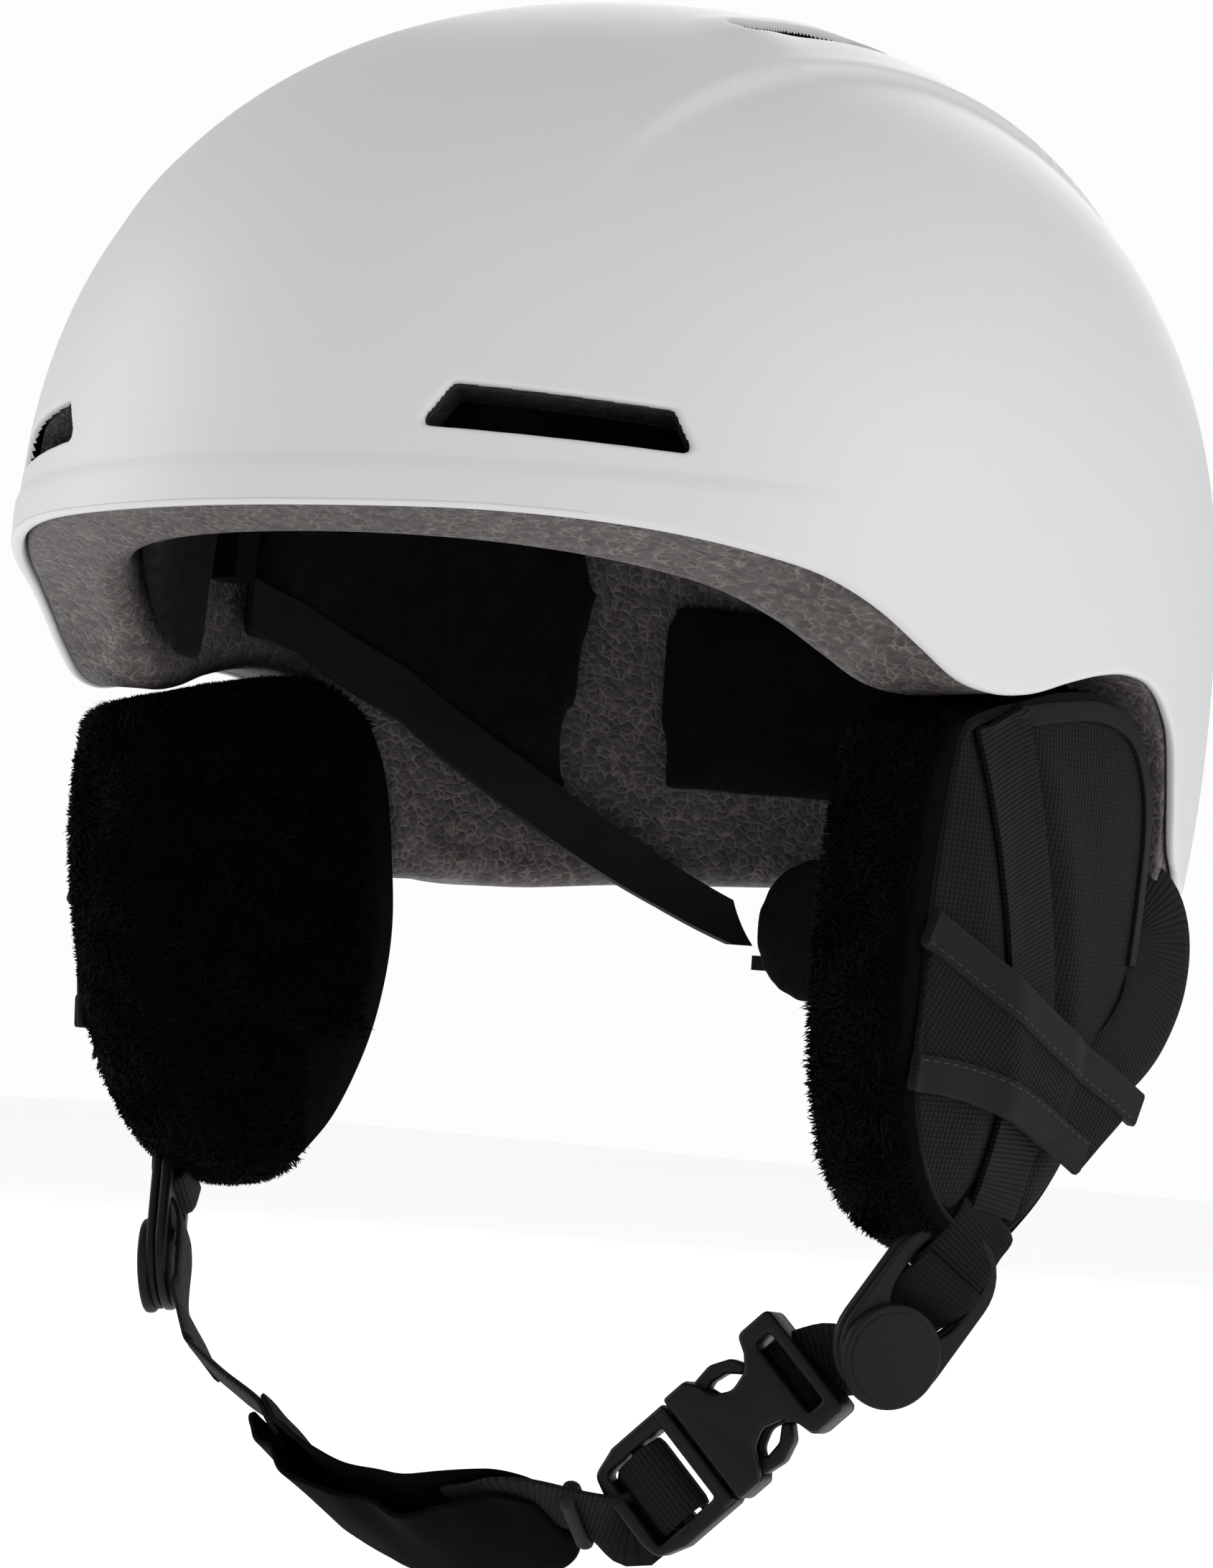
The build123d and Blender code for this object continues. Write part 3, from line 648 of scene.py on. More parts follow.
def thread_material():
    material, tree, surface = new_material("thread")
    mottle = noise(tree, coords(tree), scale=2500)
    fine = noise(tree, coords(tree), scale=5000)
    # near-black thread, kept darker than the tape as painted shade of the puckered stitch line;
    # the mottle is random tone
    feed(surface, Base_Color=ramp(tree, mottle, (0.3, 0.0015), (0.7, 0.0050)), Roughness=0.6,
         Normal=bump(tree, fine, strength=0.4, distance=0.0001))
    return material


MATERIALS = dict(
    shell_white=shell_material(),
    eps_foam=foam_material(),
    ballistic_weave=basket_material(),
    webbing=webbing_material(),
    cord=cord_material(),
    twill_tape=twill_material(),
    liner_knit=soft_material("liner_knit", dark=(0.0020, 0.0020, 0.0024),
                             light=(0.0085, 0.0085, 0.0095),
                             scale=800, distance=0.0006, sheen=0.04),
    velour=soft_material("velour", dark=(0.0004, 0.0004, 0.0006),
                         light=(0.0018, 0.0018, 0.0024),
                         scale=1500, distance=0.0003, sheen=0.004),
    fleece=soft_material("fleece", dark=0.0008, light=0.0025,
                         scale=500, distance=0.001, sheen=0.0),
    pile=pile_material(),
    pad_foam=soft_material("pad_foam", dark=0.05, light=0.1,
                           scale=500, distance=0.0008, sheen=0.1),
    hook_loop=soft_material("hook_loop", dark=0.004, light=0.015,
                            scale=1100, distance=0.0008, sheen=0.05),
    black_plastic=plastic_material("black_plastic", (0.0036, 0.0034, 0.0036), roughness=0.42),
    divider_plastic=plastic_material("divider_plastic", (0.0042, 0.0040, 0.0052), roughness=0.55),
    soft_plastic=plastic_material("soft_plastic", (0.008, 0.008, 0.009), roughness=0.55),
    rubber_ring=plastic_material("rubber_ring", (0.006, 0.006, 0.0065), roughness=0.6),
    spring_steel=steel_material(),
    thread=thread_material())


# ---------------------------------------------------------------- outlines and paths
def rounded(points, radius=1.0, steps_per_corner=6):
    """A closed outline with filleted corners; a point may carry its own radius third."""
    out = []
    for i, point in enumerate(points):
        corner, before, after = [np.array(q[:2], float) for q in
                                 (point, points[i - 1], points[(i + 1) % len(points)])]
        own_radius = point[2] if len(point) > 2 else radius
        to_before, to_after = before - corner, after - corner
        length_before, length_after = np.linalg.norm(to_before), np.linalg.norm(to_after)
        to_before, to_after = to_before / length_before, to_after / length_after
        half = math.acos(np.clip(to_before @ to_after, -1, 1)) / 2
        setback = min(own_radius / max(math.tan(half), 1e-3),
                      length_before * 0.48, length_after * 0.48)
        if setback < 0.02 or half > 1.55:
            out.append(corner)
            continue
        start, end = corner + to_before * setback, corner + to_after * setback
        for t in np.linspace(0, 1, steps_per_corner):
            out.append((1 - t) ** 2 * start + 2 * t * (1 - t) * corner + t * t * end)
    return np.array(out)


def arc_length(path):
    steps = np.linalg.norm(np.diff(path[:, :3], axis=0), axis=1)
    return np.concatenate([[0], np.cumsum(steps)])


def points_at(path, length, at):
    return np.stack([np.interp(at, length, column) for column in path.T], 1)


def catmull_rom(p0, p1, p2, p3, count):
    t = np.linspace(0, 1, count, endpoint=False)[:, None]
    return 0.5 * (2 * p1 + (p2 - p0) * t + (2 * p0 - 5 * p1 + 4 * p2 - p3) * t**2
                  + (-p0 + 3 * p1 - 3 * p2 + p3) * t**3)


def open_curve(controls, count):
    """Evenly spread points on a curve; columns after the third are carried along."""
    p = np.array(controls, float)
    q = np.vstack([2 * p[0] - p[1], p, 2 * p[-1] - p[-2]])
    path = np.vstack([catmull_rom(*q[i:i + 4], 24) for i in range(len(p) - 1)] + [p[-1:]])
    length = arc_length(path)
    return points_at(path, length, np.linspace(0, length[-1], count))


def closed_curve(controls, count):
    """Evenly spread points round a smooth closed outline."""
    p = np.asarray(controls, float)
    m = len(p)
    path = np.vstack([catmull_rom(p[i - 1], p[i], p[(i + 1) % m], p[(i + 2) % m], 16)
                      for i in range(m)])
    path = np.vstack([path, path[:1]])
    length = arc_length(path)
    return points_at(path, length, np.linspace(0, length[-1], count, endpoint=False))


def tangents(path):
    ahead = np.gradient(path, axis=0)
    return ahead / np.linalg.norm(ahead, axis=1, keepdims=True)


def left_normals(path):
    """Unit normals of a flat path, a quarter turn anticlockwise from its direction."""
    ahead = tangents(path)
    return np.stack([-ahead[:, 1], ahead[:, 0]], 1)


def strap_section(columns, corner):
    """Section of a strap: x runs -1..1 over its width, y is +-1 on its faces, 0 at its edges."""
    x = np.linspace(-1, 1, columns)
    y = np.ones(columns)
    y[[0, -1]] = corner
    return np.concatenate([x, [1.0], x[::-1], [-1.0]]), np.concatenate([y, [0.0], -y, [0.0]])


# ---------------------------------------------------------------- shell and foam liner
def steps(stops, counts):
    """Values through the stops, with counts of points in each span, ends included."""
    spans = [np.linspace(a, b, n) for a, b, n in zip(stops, stops[1:], counts)]
    return np.concatenate([span[:-1] for span in spans[:-1]] + [spans[-1]])


def headings(half):
    """Both sides from half a turn in degrees; the seam is at the back."""
    return np.radians(np.concatenate([-half[::-1][:-1], half[:-1]]))


SHELL_THICKNESS = 2.0
EDGE_RADIUS = SHELL_THICKNESS / 2
CROWN_STOP = 0.985        # share of the way to the crown of the last row below it
HUG_SHARE = 0.035         # share of the rows that bend to follow the rim


def build_shell():
    # packed where the rim or a vent needs them
    heading = headings(steps((0, 15, 78, 112, 148, 168, 180), (24, 200, 90, 48, 50, 14)))
    shares = steps((0, HUG_SHARE, 0.13, 0.56, 0.78, CROWN_STOP), (12, 56, 38, 90, 16))
    edge_z = rim_height(shell_rim, heading, 0.0) + EDGE_RADIUS
    edge_angle = elevation(edge_z)
    level_angle = elevation(0.0)
    outer = []
    for share in shares[::-1]:
        # rows run level near the vents, and follow the rim at the bottom
        angle = np.maximum(level_angle + (QUARTER - level_angle) * share, edge_angle)
        hug = max(0.0, 1 - share / HUG_SHARE)
        outer.append(angle * (1 - hug) + edge_angle * hug)
    points = by_angle(heading, np.array(outer))
    normal = outward(points)
    points = points + normal * sculpt(points)[..., None]
    points, cut = round_vent_lips(points, normal)
    # edge roll; the styling fades once past its lowest point
    lift = sculpt(by_level(heading, edge_z))[:, None]
    roll = []
    for angle in np.linspace(0, HALF_TURN, 9)[1:]:
        inset = EDGE_RADIUS * (1 - math.cos(angle))
        z = rim_height(shell_rim, heading, inset) + EDGE_RADIUS * (1 - math.sin(angle))
        row = by_level(heading, z, inset)
        roll.append(row + outward(row) * lift * (1 if angle < 1.6 else 0.3))
    inner_z = rim_height(shell_rim, heading, SHELL_THICKNESS) + EDGE_RADIUS
    inner_angle = elevation(inner_z, SHELL_THICKNESS)
    inner = [dome_row(heading, inner_angle, share, SHELL_THICKNESS)
             for share in np.linspace(0.01, CROWN_STOP, 44)]
    points = np.concatenate([points, np.array(roll), np.array(inner)], 0)
    rows, columns = points.shape[:2]
    removed = np.zeros((rows, columns))
    removed[:len(outer)] = cut
    inner_start = len(outer) + len(roll)
    for vent in VENTS:
        flat, near = vent_local(vent, points[inner_start:])
        removed[inner_start:][near & (vent_distance(vent, flat) < 5.0)] = 9
    faces = grid_faces(rows, columns)[:, ::-1]
    faces = list(faces[(removed.ravel()[faces] < 0.75).all(1)])
    crowns = [by_angle(np.zeros(1), np.array([QUARTER]), inset)
              for inset in (0.0, SHELL_THICKNESS)]
    points = np.vstack([points.reshape(-1, 3)] + crowns)
    outer_crown = rows * columns
    last_row = (rows - 1) * columns
    for j in range(columns):
        after = (j + 1) % columns
        faces.append((outer_crown, after, j))
        faces.append((outer_crown + 1, last_row + j, last_row + after))
    return tidy(new_object("shell", points, faces), drop_loose=True)


def vent_cutter(vent):
    """A prism through the foam along the vent's out direction."""
    ring = rounded(vent.outline, vent.radius)
    count = len(ring)
    points = [vent.origin + x * vent.across + y * vent.up + depth * vent.out
              for depth in (-60, 30) for x, y in ring]
    first, last = end_loops(2, count)
    faces = [first[::-1], last] + list(grid_faces(2, count))
    return tidy(new_object("cut", points, faces, smooth=False))


def build_foam():
    outside, inside = 2.35, 21.8          # insets of the two faces
    outer_radius, inner_radius = 1.2, 6.0  # rounding of the lower edge
    heading = headings(steps((0, 50, 112, 180), (44, 170, 44)))
    # the inner face hangs lower round the front
    hang = 3.8 * smoothstep((np.radians(78) - np.abs(heading)) / np.radians(30))
    # lower edge as (inset, height over the rim), from the outer face to the inner one
    profile = [(outside, 4.0), (outside, outer_radius)]
    for a in np.linspace(0, QUARTER, 5)[1:]:
        profile.append((outside + outer_radius * (1 - math.cos(a)),
                        outer_radius * (1 - math.sin(a))))
    flat_start, flat_end = outside + outer_radius, inside - inner_radius
    for s in np.linspace(0, 1, 12)[1:-1]:
        profile.append((flat_start + (flat_end - flat_start) * s, 0.0))
    for a in np.linspace(0, QUARTER, 10):
        profile.append((flat_end + inner_radius * math.sin(a), inner_radius * (1 - math.cos(a))))

    outer_angle = elevation(rim_height(foam_rim, heading, outside) + 4.0, outside)
    rows = [dome_row(heading, outer_angle, min(s, CROWN_STOP), outside)
            for s in np.linspace(1, 0, 20)[:-1]]
    for inset, rise in profile:
        sag = hang * max(0.0, inset - outside) / (inside - outside)
        z = rim_height(foam_rim, heading, inset) + rise - sag
        rows.append(by_level(heading, z, inset))
    inner_z = rim_height(foam_rim, heading, inside) + inner_radius - hang
    inner_angle = elevation(inner_z, inside)
    rows += [dome_row(heading, inner_angle, min(s, CROWN_STOP), inside)
             for s in np.linspace(0, 1, 26)[1:]]
    ob = new_object("eps", np.array(rows), tube_faces(len(rows), len(heading)))
    tidy(ob, merge=0.02)
    cutters = [vent_cutter(vent) for vent in VENTS]
    for cutter in cutters:
        modifier = ob.modifiers.new("b", "BOOLEAN")
        modifier.operation = "DIFFERENCE"
        modifier.object = cutter
        modifier.solver = "EXACT"
    apply_modifiers(ob)
    for cutter in cutters:
        bpy.data.objects.remove(cutter)
    ob.data.shade_smooth()
    return sharpen(ob, 38)


place(dress(build_shell(), "shell_white"), "root", "shell_white", "outer_shell")
place(dress(build_foam(), "eps_foam"), "root", "eps_foam", "eps_liner")

# ---------------------------------------------------------------- knit pads
PUFF = 1.2                # most that the cloth may swell


def cloth_puffed(ob, points):
    """Inflates the pad as cloth, keeping each point within PUFF of where it was."""
    modifier = ob.modifiers.new("c", "CLOTH")
    settings = modifier.settings
    settings.use_pressure = True
    settings.uniform_pressure_force = 4.0
    settings.effector_weights.gravity = 0.0
    settings.quality = 4
    settings.tension_stiffness = 12
    scene = bpy.context.scene
    for number in range(1, 13):
        scene.frame_set(number)
    depsgraph = bpy.context.evaluated_depsgraph_get()
    move = read_points(ob.evaluated_get(depsgraph).to_mesh()) - points
    length = np.linalg.norm(move, axis=1, keepdims=True) + 1e-12
    ob.modifiers.clear()
    scene.frame_set(1)
    return points + move * np.minimum(1, PUFF * MM / length)


def build_knit_pad(node):
    """A softened, puffed copy of a CAD pad."""
    mesh = frame["nodes"][node].data.copy()
    mesh.materials.clear()
    ob = link_object(node + "_knit", mesh)
    bm = bmesh.new()
    bm.from_mesh(mesh)
    bmesh.ops.remove_doubles(bm, verts=bm.verts, dist=1e-6)
    bm.to_mesh(mesh)
    bm.free()
    remesh = ob.modifiers.new("r", "REMESH")
    remesh.mode = "VOXEL"
    remesh.voxel_size = 2.4 * MM
    apply_modifiers(ob)
    smooth = ob.modifiers.new("s", "SMOOTH")
    smooth.factor = 0.6
    smooth.iterations = 22
    apply_modifiers(ob)
    points = read_points(ob.data)
    points = cloth_puffed(ob, points)
    write_points(ob.data, points)
    subdivide = ob.modifiers.new("sub", "SUBSURF")
    subdivide.levels = 1
    subdivide.render_levels = 1
    apply_modifiers(ob)
    ob.data.shade_smooth()
    return dress(ob, "liner_knit")


for node in ("brow_pad", "crown_pad", "nape_pad", "side_pad_left", "side_pad_right",
             "cradle_pad"):
    place(build_knit_pad(node), "root", "liner_knit", node)


# ---------------------------------------------------------------- free straps
def strap(name, controls, across, width, thickness):
    """A flat webbing strap; across and width may be given once or per control point."""
    count = len(controls)
    across = np.broadcast_to(np.array(across, float), (count, 3))
    widths = (np.ones(count) * width)[:, None]
    length = arc_length(np.array(controls, float))[-1]
    path = open_curve(np.hstack([np.array(controls, float), across, widths]),
                      max(8, int(length / 1.2)))
    centre, across, width = path[:, :3], path[:, 3:6], path[:, 6:]
    ahead = tangents(centre)
    across = across - ahead * (across * ahead).sum(1, keepdims=True)
    across /= np.linalg.norm(across, axis=1, keepdims=True)
    normal = np.cross(across, ahead)
    x, y = strap_section(12, corner=0.55)
    offset = x * width / 2
    points = (centre[:, None] + across[:, None] * offset[..., None]
              + normal[:, None] * (y * thickness / 2)[:, None])
    run = np.broadcast_to(arc_length(centre)[:, None], offset.shape)
    ob = new_object(name, points, tube_faces(*offset.shape), uv=np.stack([run, offset], -1))
    return dress(sharpen(tidy(ob), 60), "webbing")


# ---------------------------------------------------------------- ear pads
# The seam plane of the left pad: y along the head, a tilted height, and outwards
PAD_TILT = math.radians(5.0)
PAD_ORIGIN = np.array([102.0, 0.0, -65.0])
PAD_ALONG = np.array([0.0, 1.0, 0.0])
PAD_OUT = np.array([math.cos(PAD_TILT), 0.0, -math.sin(PAD_TILT)])
PAD_UP = np.cross(PAD_OUT, PAD_ALONG)
PAD_CENTRE = np.array([-18.0, -68.0])

# Outlines as (y, z)
PAD_EDGE = [
    (-57, -40), (-58, -55), (-56.5, -72), (-52, -91), (-43, -108), (-30, -119), (-14, -122),
    (0, -114), (11, -100), (18, -85), (22, -68), (21.5, -50), (19.5, -36), (15, -26.5),
    (8, -21), (-4, -18.2), (-18, -19.4), (-32, -22.8), (-45, -25.8), (-53, -29)]
COVER_EDGE = [
    (-51.5, -40), (-52, -55), (-51, -72), (-48.5, -91), (-41, -106), (-30, -115),
    (-15, -118.5), (-1, -111), (10, -98), (17.5, -84), (21.5, -68), (21, -50), (19, -36),
    (14.5, -26.5), (8, -21), (-4, -18), (-18, -19), (-31, -22), (-43, -25), (-50, -29)]
# Paths over the pad as (y, z)
FRONT_STRAP = [(-40, -25), (-35, -36), (-29.5, -48), (-24.5, -60), (-19.5, -74), (-16, -90),
               (-16, -106), (-17, -114)]
BINDING = [(-34, -24.5), (-20, -22.0), (-6, -20.5), (6, -22.5), (13, -28.5), (17.5, -38),
           (19, -52), (19.2, -66)]
KEEPER_TOP = [(-52.0, -61), (-44, -64.5), (-33, -69.3), (-20, -74.8), (-5, -80.6), (9, -85.6),
              (21.5, -90.3)]
KEEPER_LOW = [(-51.5, -91.5), (-44, -91.8), (-34, -93), (-22, -95.8), (-10, -99.8),
              (2.5, -104.5)]
KEEPER_REAR = [(21.5, -90.3), (15.5, -95.3), (9, -100.2), (2.5, -105.5)]


def over_pad(y, z, lift):
    """A point over the left ear pad, lift out from the seam plane."""
    y, z, lift = np.broadcast_arrays(*[np.asarray(v, float) for v in (y, z, lift)])
    return (PAD_ORIGIN + y[..., None] * PAD_ALONG + (z - PAD_ORIGIN[2])[..., None] * PAD_UP
            + lift[..., None] * PAD_OUT)


def ripple(y, z, seed, scale):
    """Sum of seven random plane waves."""
    random = np.random.default_rng(seed)
    total = 0
    for _ in range(7):
        angle = random.uniform(0, math.pi)
        rate = random.uniform(0.5, 1.6) / scale
        phase = random.uniform(0, 6.28)
        total = total + np.sin((y * math.cos(angle) + z * math.sin(angle)) * rate + phase)
    return total / 7


def strap_line(z):
    """y of the front strap's middle at height z."""
    return np.interp(z, [-114, -90, -74, -60, -48, -36, -25],
                     [-17, -14.5, -18, -23, -28.5, -35, -42])


def cover_height(u, y, z):
    """Loft of the cover over the seam plane; u is 0 in the middle and 1 at the seam."""
    height = 3.4 * (1 - u**2.6) + 0.5 * ripple(y, z, 3, 11) * (1 - u**4)
    # the strap pulls the middle down a little, so the panel puffs beside it
    aside = np.abs(y - strap_line(z))
    height = height - 1.6 * np.exp(-(aside / 10.0) ** 4) * (u < 0.97)
    height = height + 0.8 * bell(aside, 15, 6.0) * (1 - u**3)
    # pucker at the bottom, where the divider sits
    return height - 1.4 * bell(y, -26, 20) * bell(z, -118, 18)


def cover_lift(y, z):
    """Height of the cover's surface at (y, z)."""
    y, z = np.asarray(y, float), np.asarray(z, float)
    spoke = closed_curve(COVER_EDGE, 360) - PAD_CENTRE
    angles, radii = np.arctan2(spoke[:, 1], spoke[:, 0]), np.linalg.norm(spoke, axis=1)
    order = np.argsort(angles)
    angle = np.arctan2(z - PAD_CENTRE[1], y - PAD_CENTRE[0])
    edge = np.interp(angle, angles[order], radii[order], period=2 * math.pi)
    u = np.hypot(y - PAD_CENTRE[0], z - PAD_CENTRE[1]) / edge
    return np.where(u < 1, cover_height(np.clip(u, 0, 1), y, z), -1.0)


def strap_lift(y, z):
    return cover_lift(y, z) * 0.85 + 0.7


def keeper_lift(y, z):
    """Height of the keeper panel: over the cover, bridging the strap, standing off behind."""
    bridge = 3.3 * np.exp(-((y - strap_line(z)) / 12.5) ** 4)
    stand_off = np.interp(y, [-52, -47, -10, 8, 22], [-0.6, 0.6, 4.2, 5.2, 5.6])
    return np.maximum(np.maximum(cover_lift(y, z) + 0.6, 0.4) + bridge, stand_off)


def build_cover():
    """The woven outer panel, turned under at the seam."""
    count = 220
    spoke = closed_curve(COVER_EDGE, count) - PAD_CENTRE
    shares = np.concatenate([np.linspace(0.03, 0.9, 34),
                             1 - 0.1 * np.cos(np.linspace(0, QUARTER, 8))[1:]])
    # share of the way to the seam, and lift, for the rows of the turned-under back
    back = ((1.002, -0.5), (0.99, -1.0), (0.95, -1.15), (0.7, -1.15), (0.4, -1.15),
            (0.12, -1.15))
    points, uv = [], []
    for share, lift in [(share, None) for share in shares] + list(back):
        row = PAD_CENTRE + spoke * share
        if lift is None:
            lift = cover_height(share, row[:, 0], row[:, 1])
        points.append(over_pad(row[:, 0], row[:, 1], lift))
        uv.append(row)
    return tidy(new_object("cover", points, tube_faces(len(points), count), uv=uv))


def build_fleece():
    """The thick body between the cover and the head."""
    count = 200
    seam, edge = closed_curve(COVER_EDGE, count), closed_curve(PAD_EDGE, count)
    # growth from the seam outline to the pad outline, and lift
    profile = [(0.0, -0.9), (0.35, -0.5), (0.75, -1.6), (1.0, -4.0), (1.12, -8.0),
               (1.15, -12.0), (1.05, -16.5), (0.8, -20.0), (0.3, -22.3)]
    points = []
    for growth, lift in profile:
        row = seam + (edge - seam) * growth
        points.append(over_pad(row[:, 0], row[:, 1], lift))
    # inner face, with a hollow in its middle
    for share in (0.85, 0.7, 0.5, 0.3, 0.1):
        y, z = (PAD_CENTRE + (seam - PAD_CENTRE) * share).T
        lift = -22.8 - 0.6 * (1 - share) + 3.0 * bell(y, -10, 16) * bell(z, -62, 20)
        points.append(over_pad(y, z, lift))
    return tidy(new_object("fleece", points, tube_faces(len(points), count)))


def build_pile(body, count, length, seed):
    """Short pile: every strand is a thin bent blade growing out of the fleece body."""
    random = np.random.default_rng(seed)
    mesh = body.data
    mesh.calc_loop_triangles()
    triangles = np.zeros(len(mesh.loop_triangles) * 3, np.int32)
    mesh.loop_triangles.foreach_get("vertices", triangles)
    a, b, c = (read_points(mesh) / MM)[triangles.reshape(-1, 3)].transpose(1, 0, 2)
    cross = np.cross(b - a, c - a)
    area = np.linalg.norm(cross, axis=1) / 2
    normals = cross / (2 * area[:, None] + 1e-12)
    middle = (a + b + c) / 3
    # none on the seam or at the rear, where the pile stays hidden; thinner on the inner face
    lift = (middle - PAD_ORIGIN) @ PAD_OUT
    y, z = middle[:, 1], middle[:, 2]
    weight = area * np.where(lift > -1.8, 0.0, np.where(lift > -18, 1.0, 0.45))
    weight = weight * np.where((y > 12) | ((y > -8) & (z < -90)), 0.0, 1.0)
    index = random.choice(len(area), count, p=weight / weight.sum())
    u, v = random.random(count), random.random(count)
    beyond = u + v > 1
    u[beyond], v[beyond] = 1 - u[beyond], 1 - v[beyond]
    root = a[index] + (b - a)[index] * u[:, None] + (c - a)[index] * v[:, None]
    normal = normals[index]
    # strands lean at random, together in clumps, and slightly down
    clump = np.stack([ripple(root[:, 1] + root[:, 0], root[:, 2], 21 + k, 2.2)
                      for k in range(3)], 1)
    lean = random.normal(size=(count, 3)) * 0.55 + clump * 1.9 + np.array([0, 0, -0.35])
    lean -= normal * (lean * normal).sum(1, keepdims=True)
    short = np.where((root - PAD_ORIGIN) @ PAD_OUT > -4.5, 0.6, 1.0)
    size = length * random.uniform(0.55, 1.15, count)[:, None] * short[:, None]
    foot = root - normal * 0.4
    bend = root + normal * size * 0.55 + lean * size * 0.22
    tip = root + normal * size * 0.85 + lean * size * 0.62
    across = np.cross(normal, lean)
    across /= np.linalg.norm(across, axis=1, keepdims=True) + 1e-9
    deep = np.cross(across, normal)
    width = 0.19
    points = np.stack([
        foot - across * width, foot + across * width, foot + deep * width * 1.2,
        bend - across * width * 0.9, bend + across * width * 0.9, bend + deep * width, tip], 1)
    base = np.arange(count)[:, None, None] * 7
    quads = np.array([(0, 1, 4, 3), (1, 2, 5, 4), (2, 0, 3, 5)]) + base
    tips = np.array([(3, 4, 6), (4, 5, 6), (5, 3, 6)]) + base
    return new_object("pile", points, list(quads.reshape(-1, 4)) + list(tips.reshape(-1, 3)))


def pad_strap(controls, width, lift_of, thickness, finish, offset=0.0):
    """A strap or tape laid over the pad along (y, z) controls, at the height lift_of gives."""
    controls = np.array(controls, float)
    path = open_curve(controls, max(10, int(arc_length(controls)[-1] / 1.3)))
    normal = left_normals(path)
    run = arc_length(path)
    points, uv = [], []
    for x, y in zip(*strap_section(11, corner=0.72)):
        bulge = 1.0 if y else 1.006
        row = path + normal * (width / 2 * x * bulge)
        lift = lift_of(row[:, 0], row[:, 1]) + offset + thickness / 2 * (1 + y)
        points.append(over_pad(row[:, 0], row[:, 1], lift))
        uv.append(np.stack([run, np.full(len(path), x * width / 2)], 1))
    points, uv = np.array(points).transpose(1, 0, 2), np.array(uv).transpose(1, 0, 2)
    ob = new_object("pad_strap", points, tube_faces(*points.shape[:2]), uv=uv)
    return dress(sharpen(tidy(ob), 50), finish)


def build_welt():
    """A round cord in the seam between cover and fleece."""
    count, sides, radius = 260, 6, 0.55
    edge = closed_curve(COVER_EDGE, count)
    away = (edge - PAD_CENTRE) / np.linalg.norm(edge - PAD_CENTRE, axis=1, keepdims=True)
    angle = np.linspace(0, 2 * math.pi, sides + 1)[:-1]
    ring = edge[:, None] + away[:, None] * radius * np.cos(angle)[:, None]
    points = over_pad(ring[..., 0], ring[..., 1], -0.75 + radius * np.sin(angle))
    return tidy(new_object("welt", points, ring_faces(count, sides)))


def build_stitches(path, pitch=2.6, length=1.9, radius=0.22, sink=0.12):
    """A row of thread stitches over the pad: each is a small bowed bead of thread."""
    run = arc_length(path)
    segments, sides = 5, 6
    bow = np.array([math.sin(math.pi * i / (segments - 1)) for i in range(segments)])
    bead_radius = (radius * (0.35 + 0.65 * np.sqrt(bow)))[:, None, None]
    rise = (radius * 0.9 * bow - sink)[:, None, None]
    angle = (2 * math.pi * np.arange(sides) / sides)[:, None]
    first, last = end_loops(segments, sides)
    bead_faces = list(grid_faces(segments, sides)) + [first[::-1], last]
    points, faces = [], []
    for i in range(int(run[-1] / pitch)):
        start = (i + 0.2) * pitch
        centre = points_at(path, run, np.linspace(start, start + length, segments))
        across = np.cross(unit(centre[-1] - centre[0]), PAD_OUT)
        ring = across * np.cos(angle) + PAD_OUT * np.sin(angle)
        points.append(centre[:, None] + PAD_OUT * rise + ring * bead_radius)
        faces += [np.array(face) + i * segments * sides for face in bead_faces]
    return dress(tidy(new_object("stitches", points, faces)), "thread")


def build_keeper():
    """A woven panel over the straps, running out behind to an oblique rear end."""
    rows, columns, half_thickness = 90, 46, 0.45
    top, low = open_curve(KEEPER_TOP, rows), open_curve(KEEPER_LOW, rows)
    rear = open_curve(KEEPER_REAR, columns)
    back = (np.arange(rows) / (rows - 1))[:, None, None]
    down = (np.arange(columns) / (columns - 1))[:, None]
    chord = top[-1] * (1 - down) + low[-1] * down
    flat = top[:, None] * (1 - down) + low[:, None] * down + (rear - chord) * back**2
    flat = flat.reshape(-1, 2)
    y, z = flat.T
    lift = keeper_lift(y, z)
    points = np.vstack([over_pad(y, z, lift + half_thickness),
                        over_pad(y, z, lift - half_thickness)])
    outer = list(grid_faces(rows, columns, wrap=False))
    under = rows * columns
    inner = [face[::-1] + under for face in outer]
    rim = (list(range(columns))
           + [i * columns + columns - 1 for i in range(1, rows)]
           + [(rows - 1) * columns + j for j in range(columns - 2, -1, -1)]
           + [i * columns for i in range(rows - 2, 0, -1)])
    edge = [(a, b, b + under, a + under) for a, b in zip(rim, rim[1:] + rim[:1])]
    # the weave lies askew on the panel
    skew = math.radians(28)
    uv = np.stack([y * math.cos(skew) - z * math.sin(skew),
                   y * math.sin(skew) + z * math.cos(skew)], 1)
    return tidy(new_object("keeper", points, outer + inner + edge, uv=np.vstack([uv, uv])))


def add_keeper_tape(name, controls, inward):
    """Folded tape over an edge of the keeper, with stitching near its inner side.

    inward is 1 where the panel lies to the right of the path, -1 where to the left.
    """
    controls = np.array(controls, float)
    normal = left_normals(controls) * inward
    tape = pad_strap(controls - normal * 2.6, 6.6, keeper_lift, 2.0, "twill_tape", offset=-0.75)
    place_pair(tape, name, "twill_tape")
    y, z = open_curve(controls - normal * 5.0, 80).T
    path = over_pad(y, z, keeper_lift(y, z) + 1.25)
    place_pair(build_stitches(path), name + "_stitch", "twill_tape")


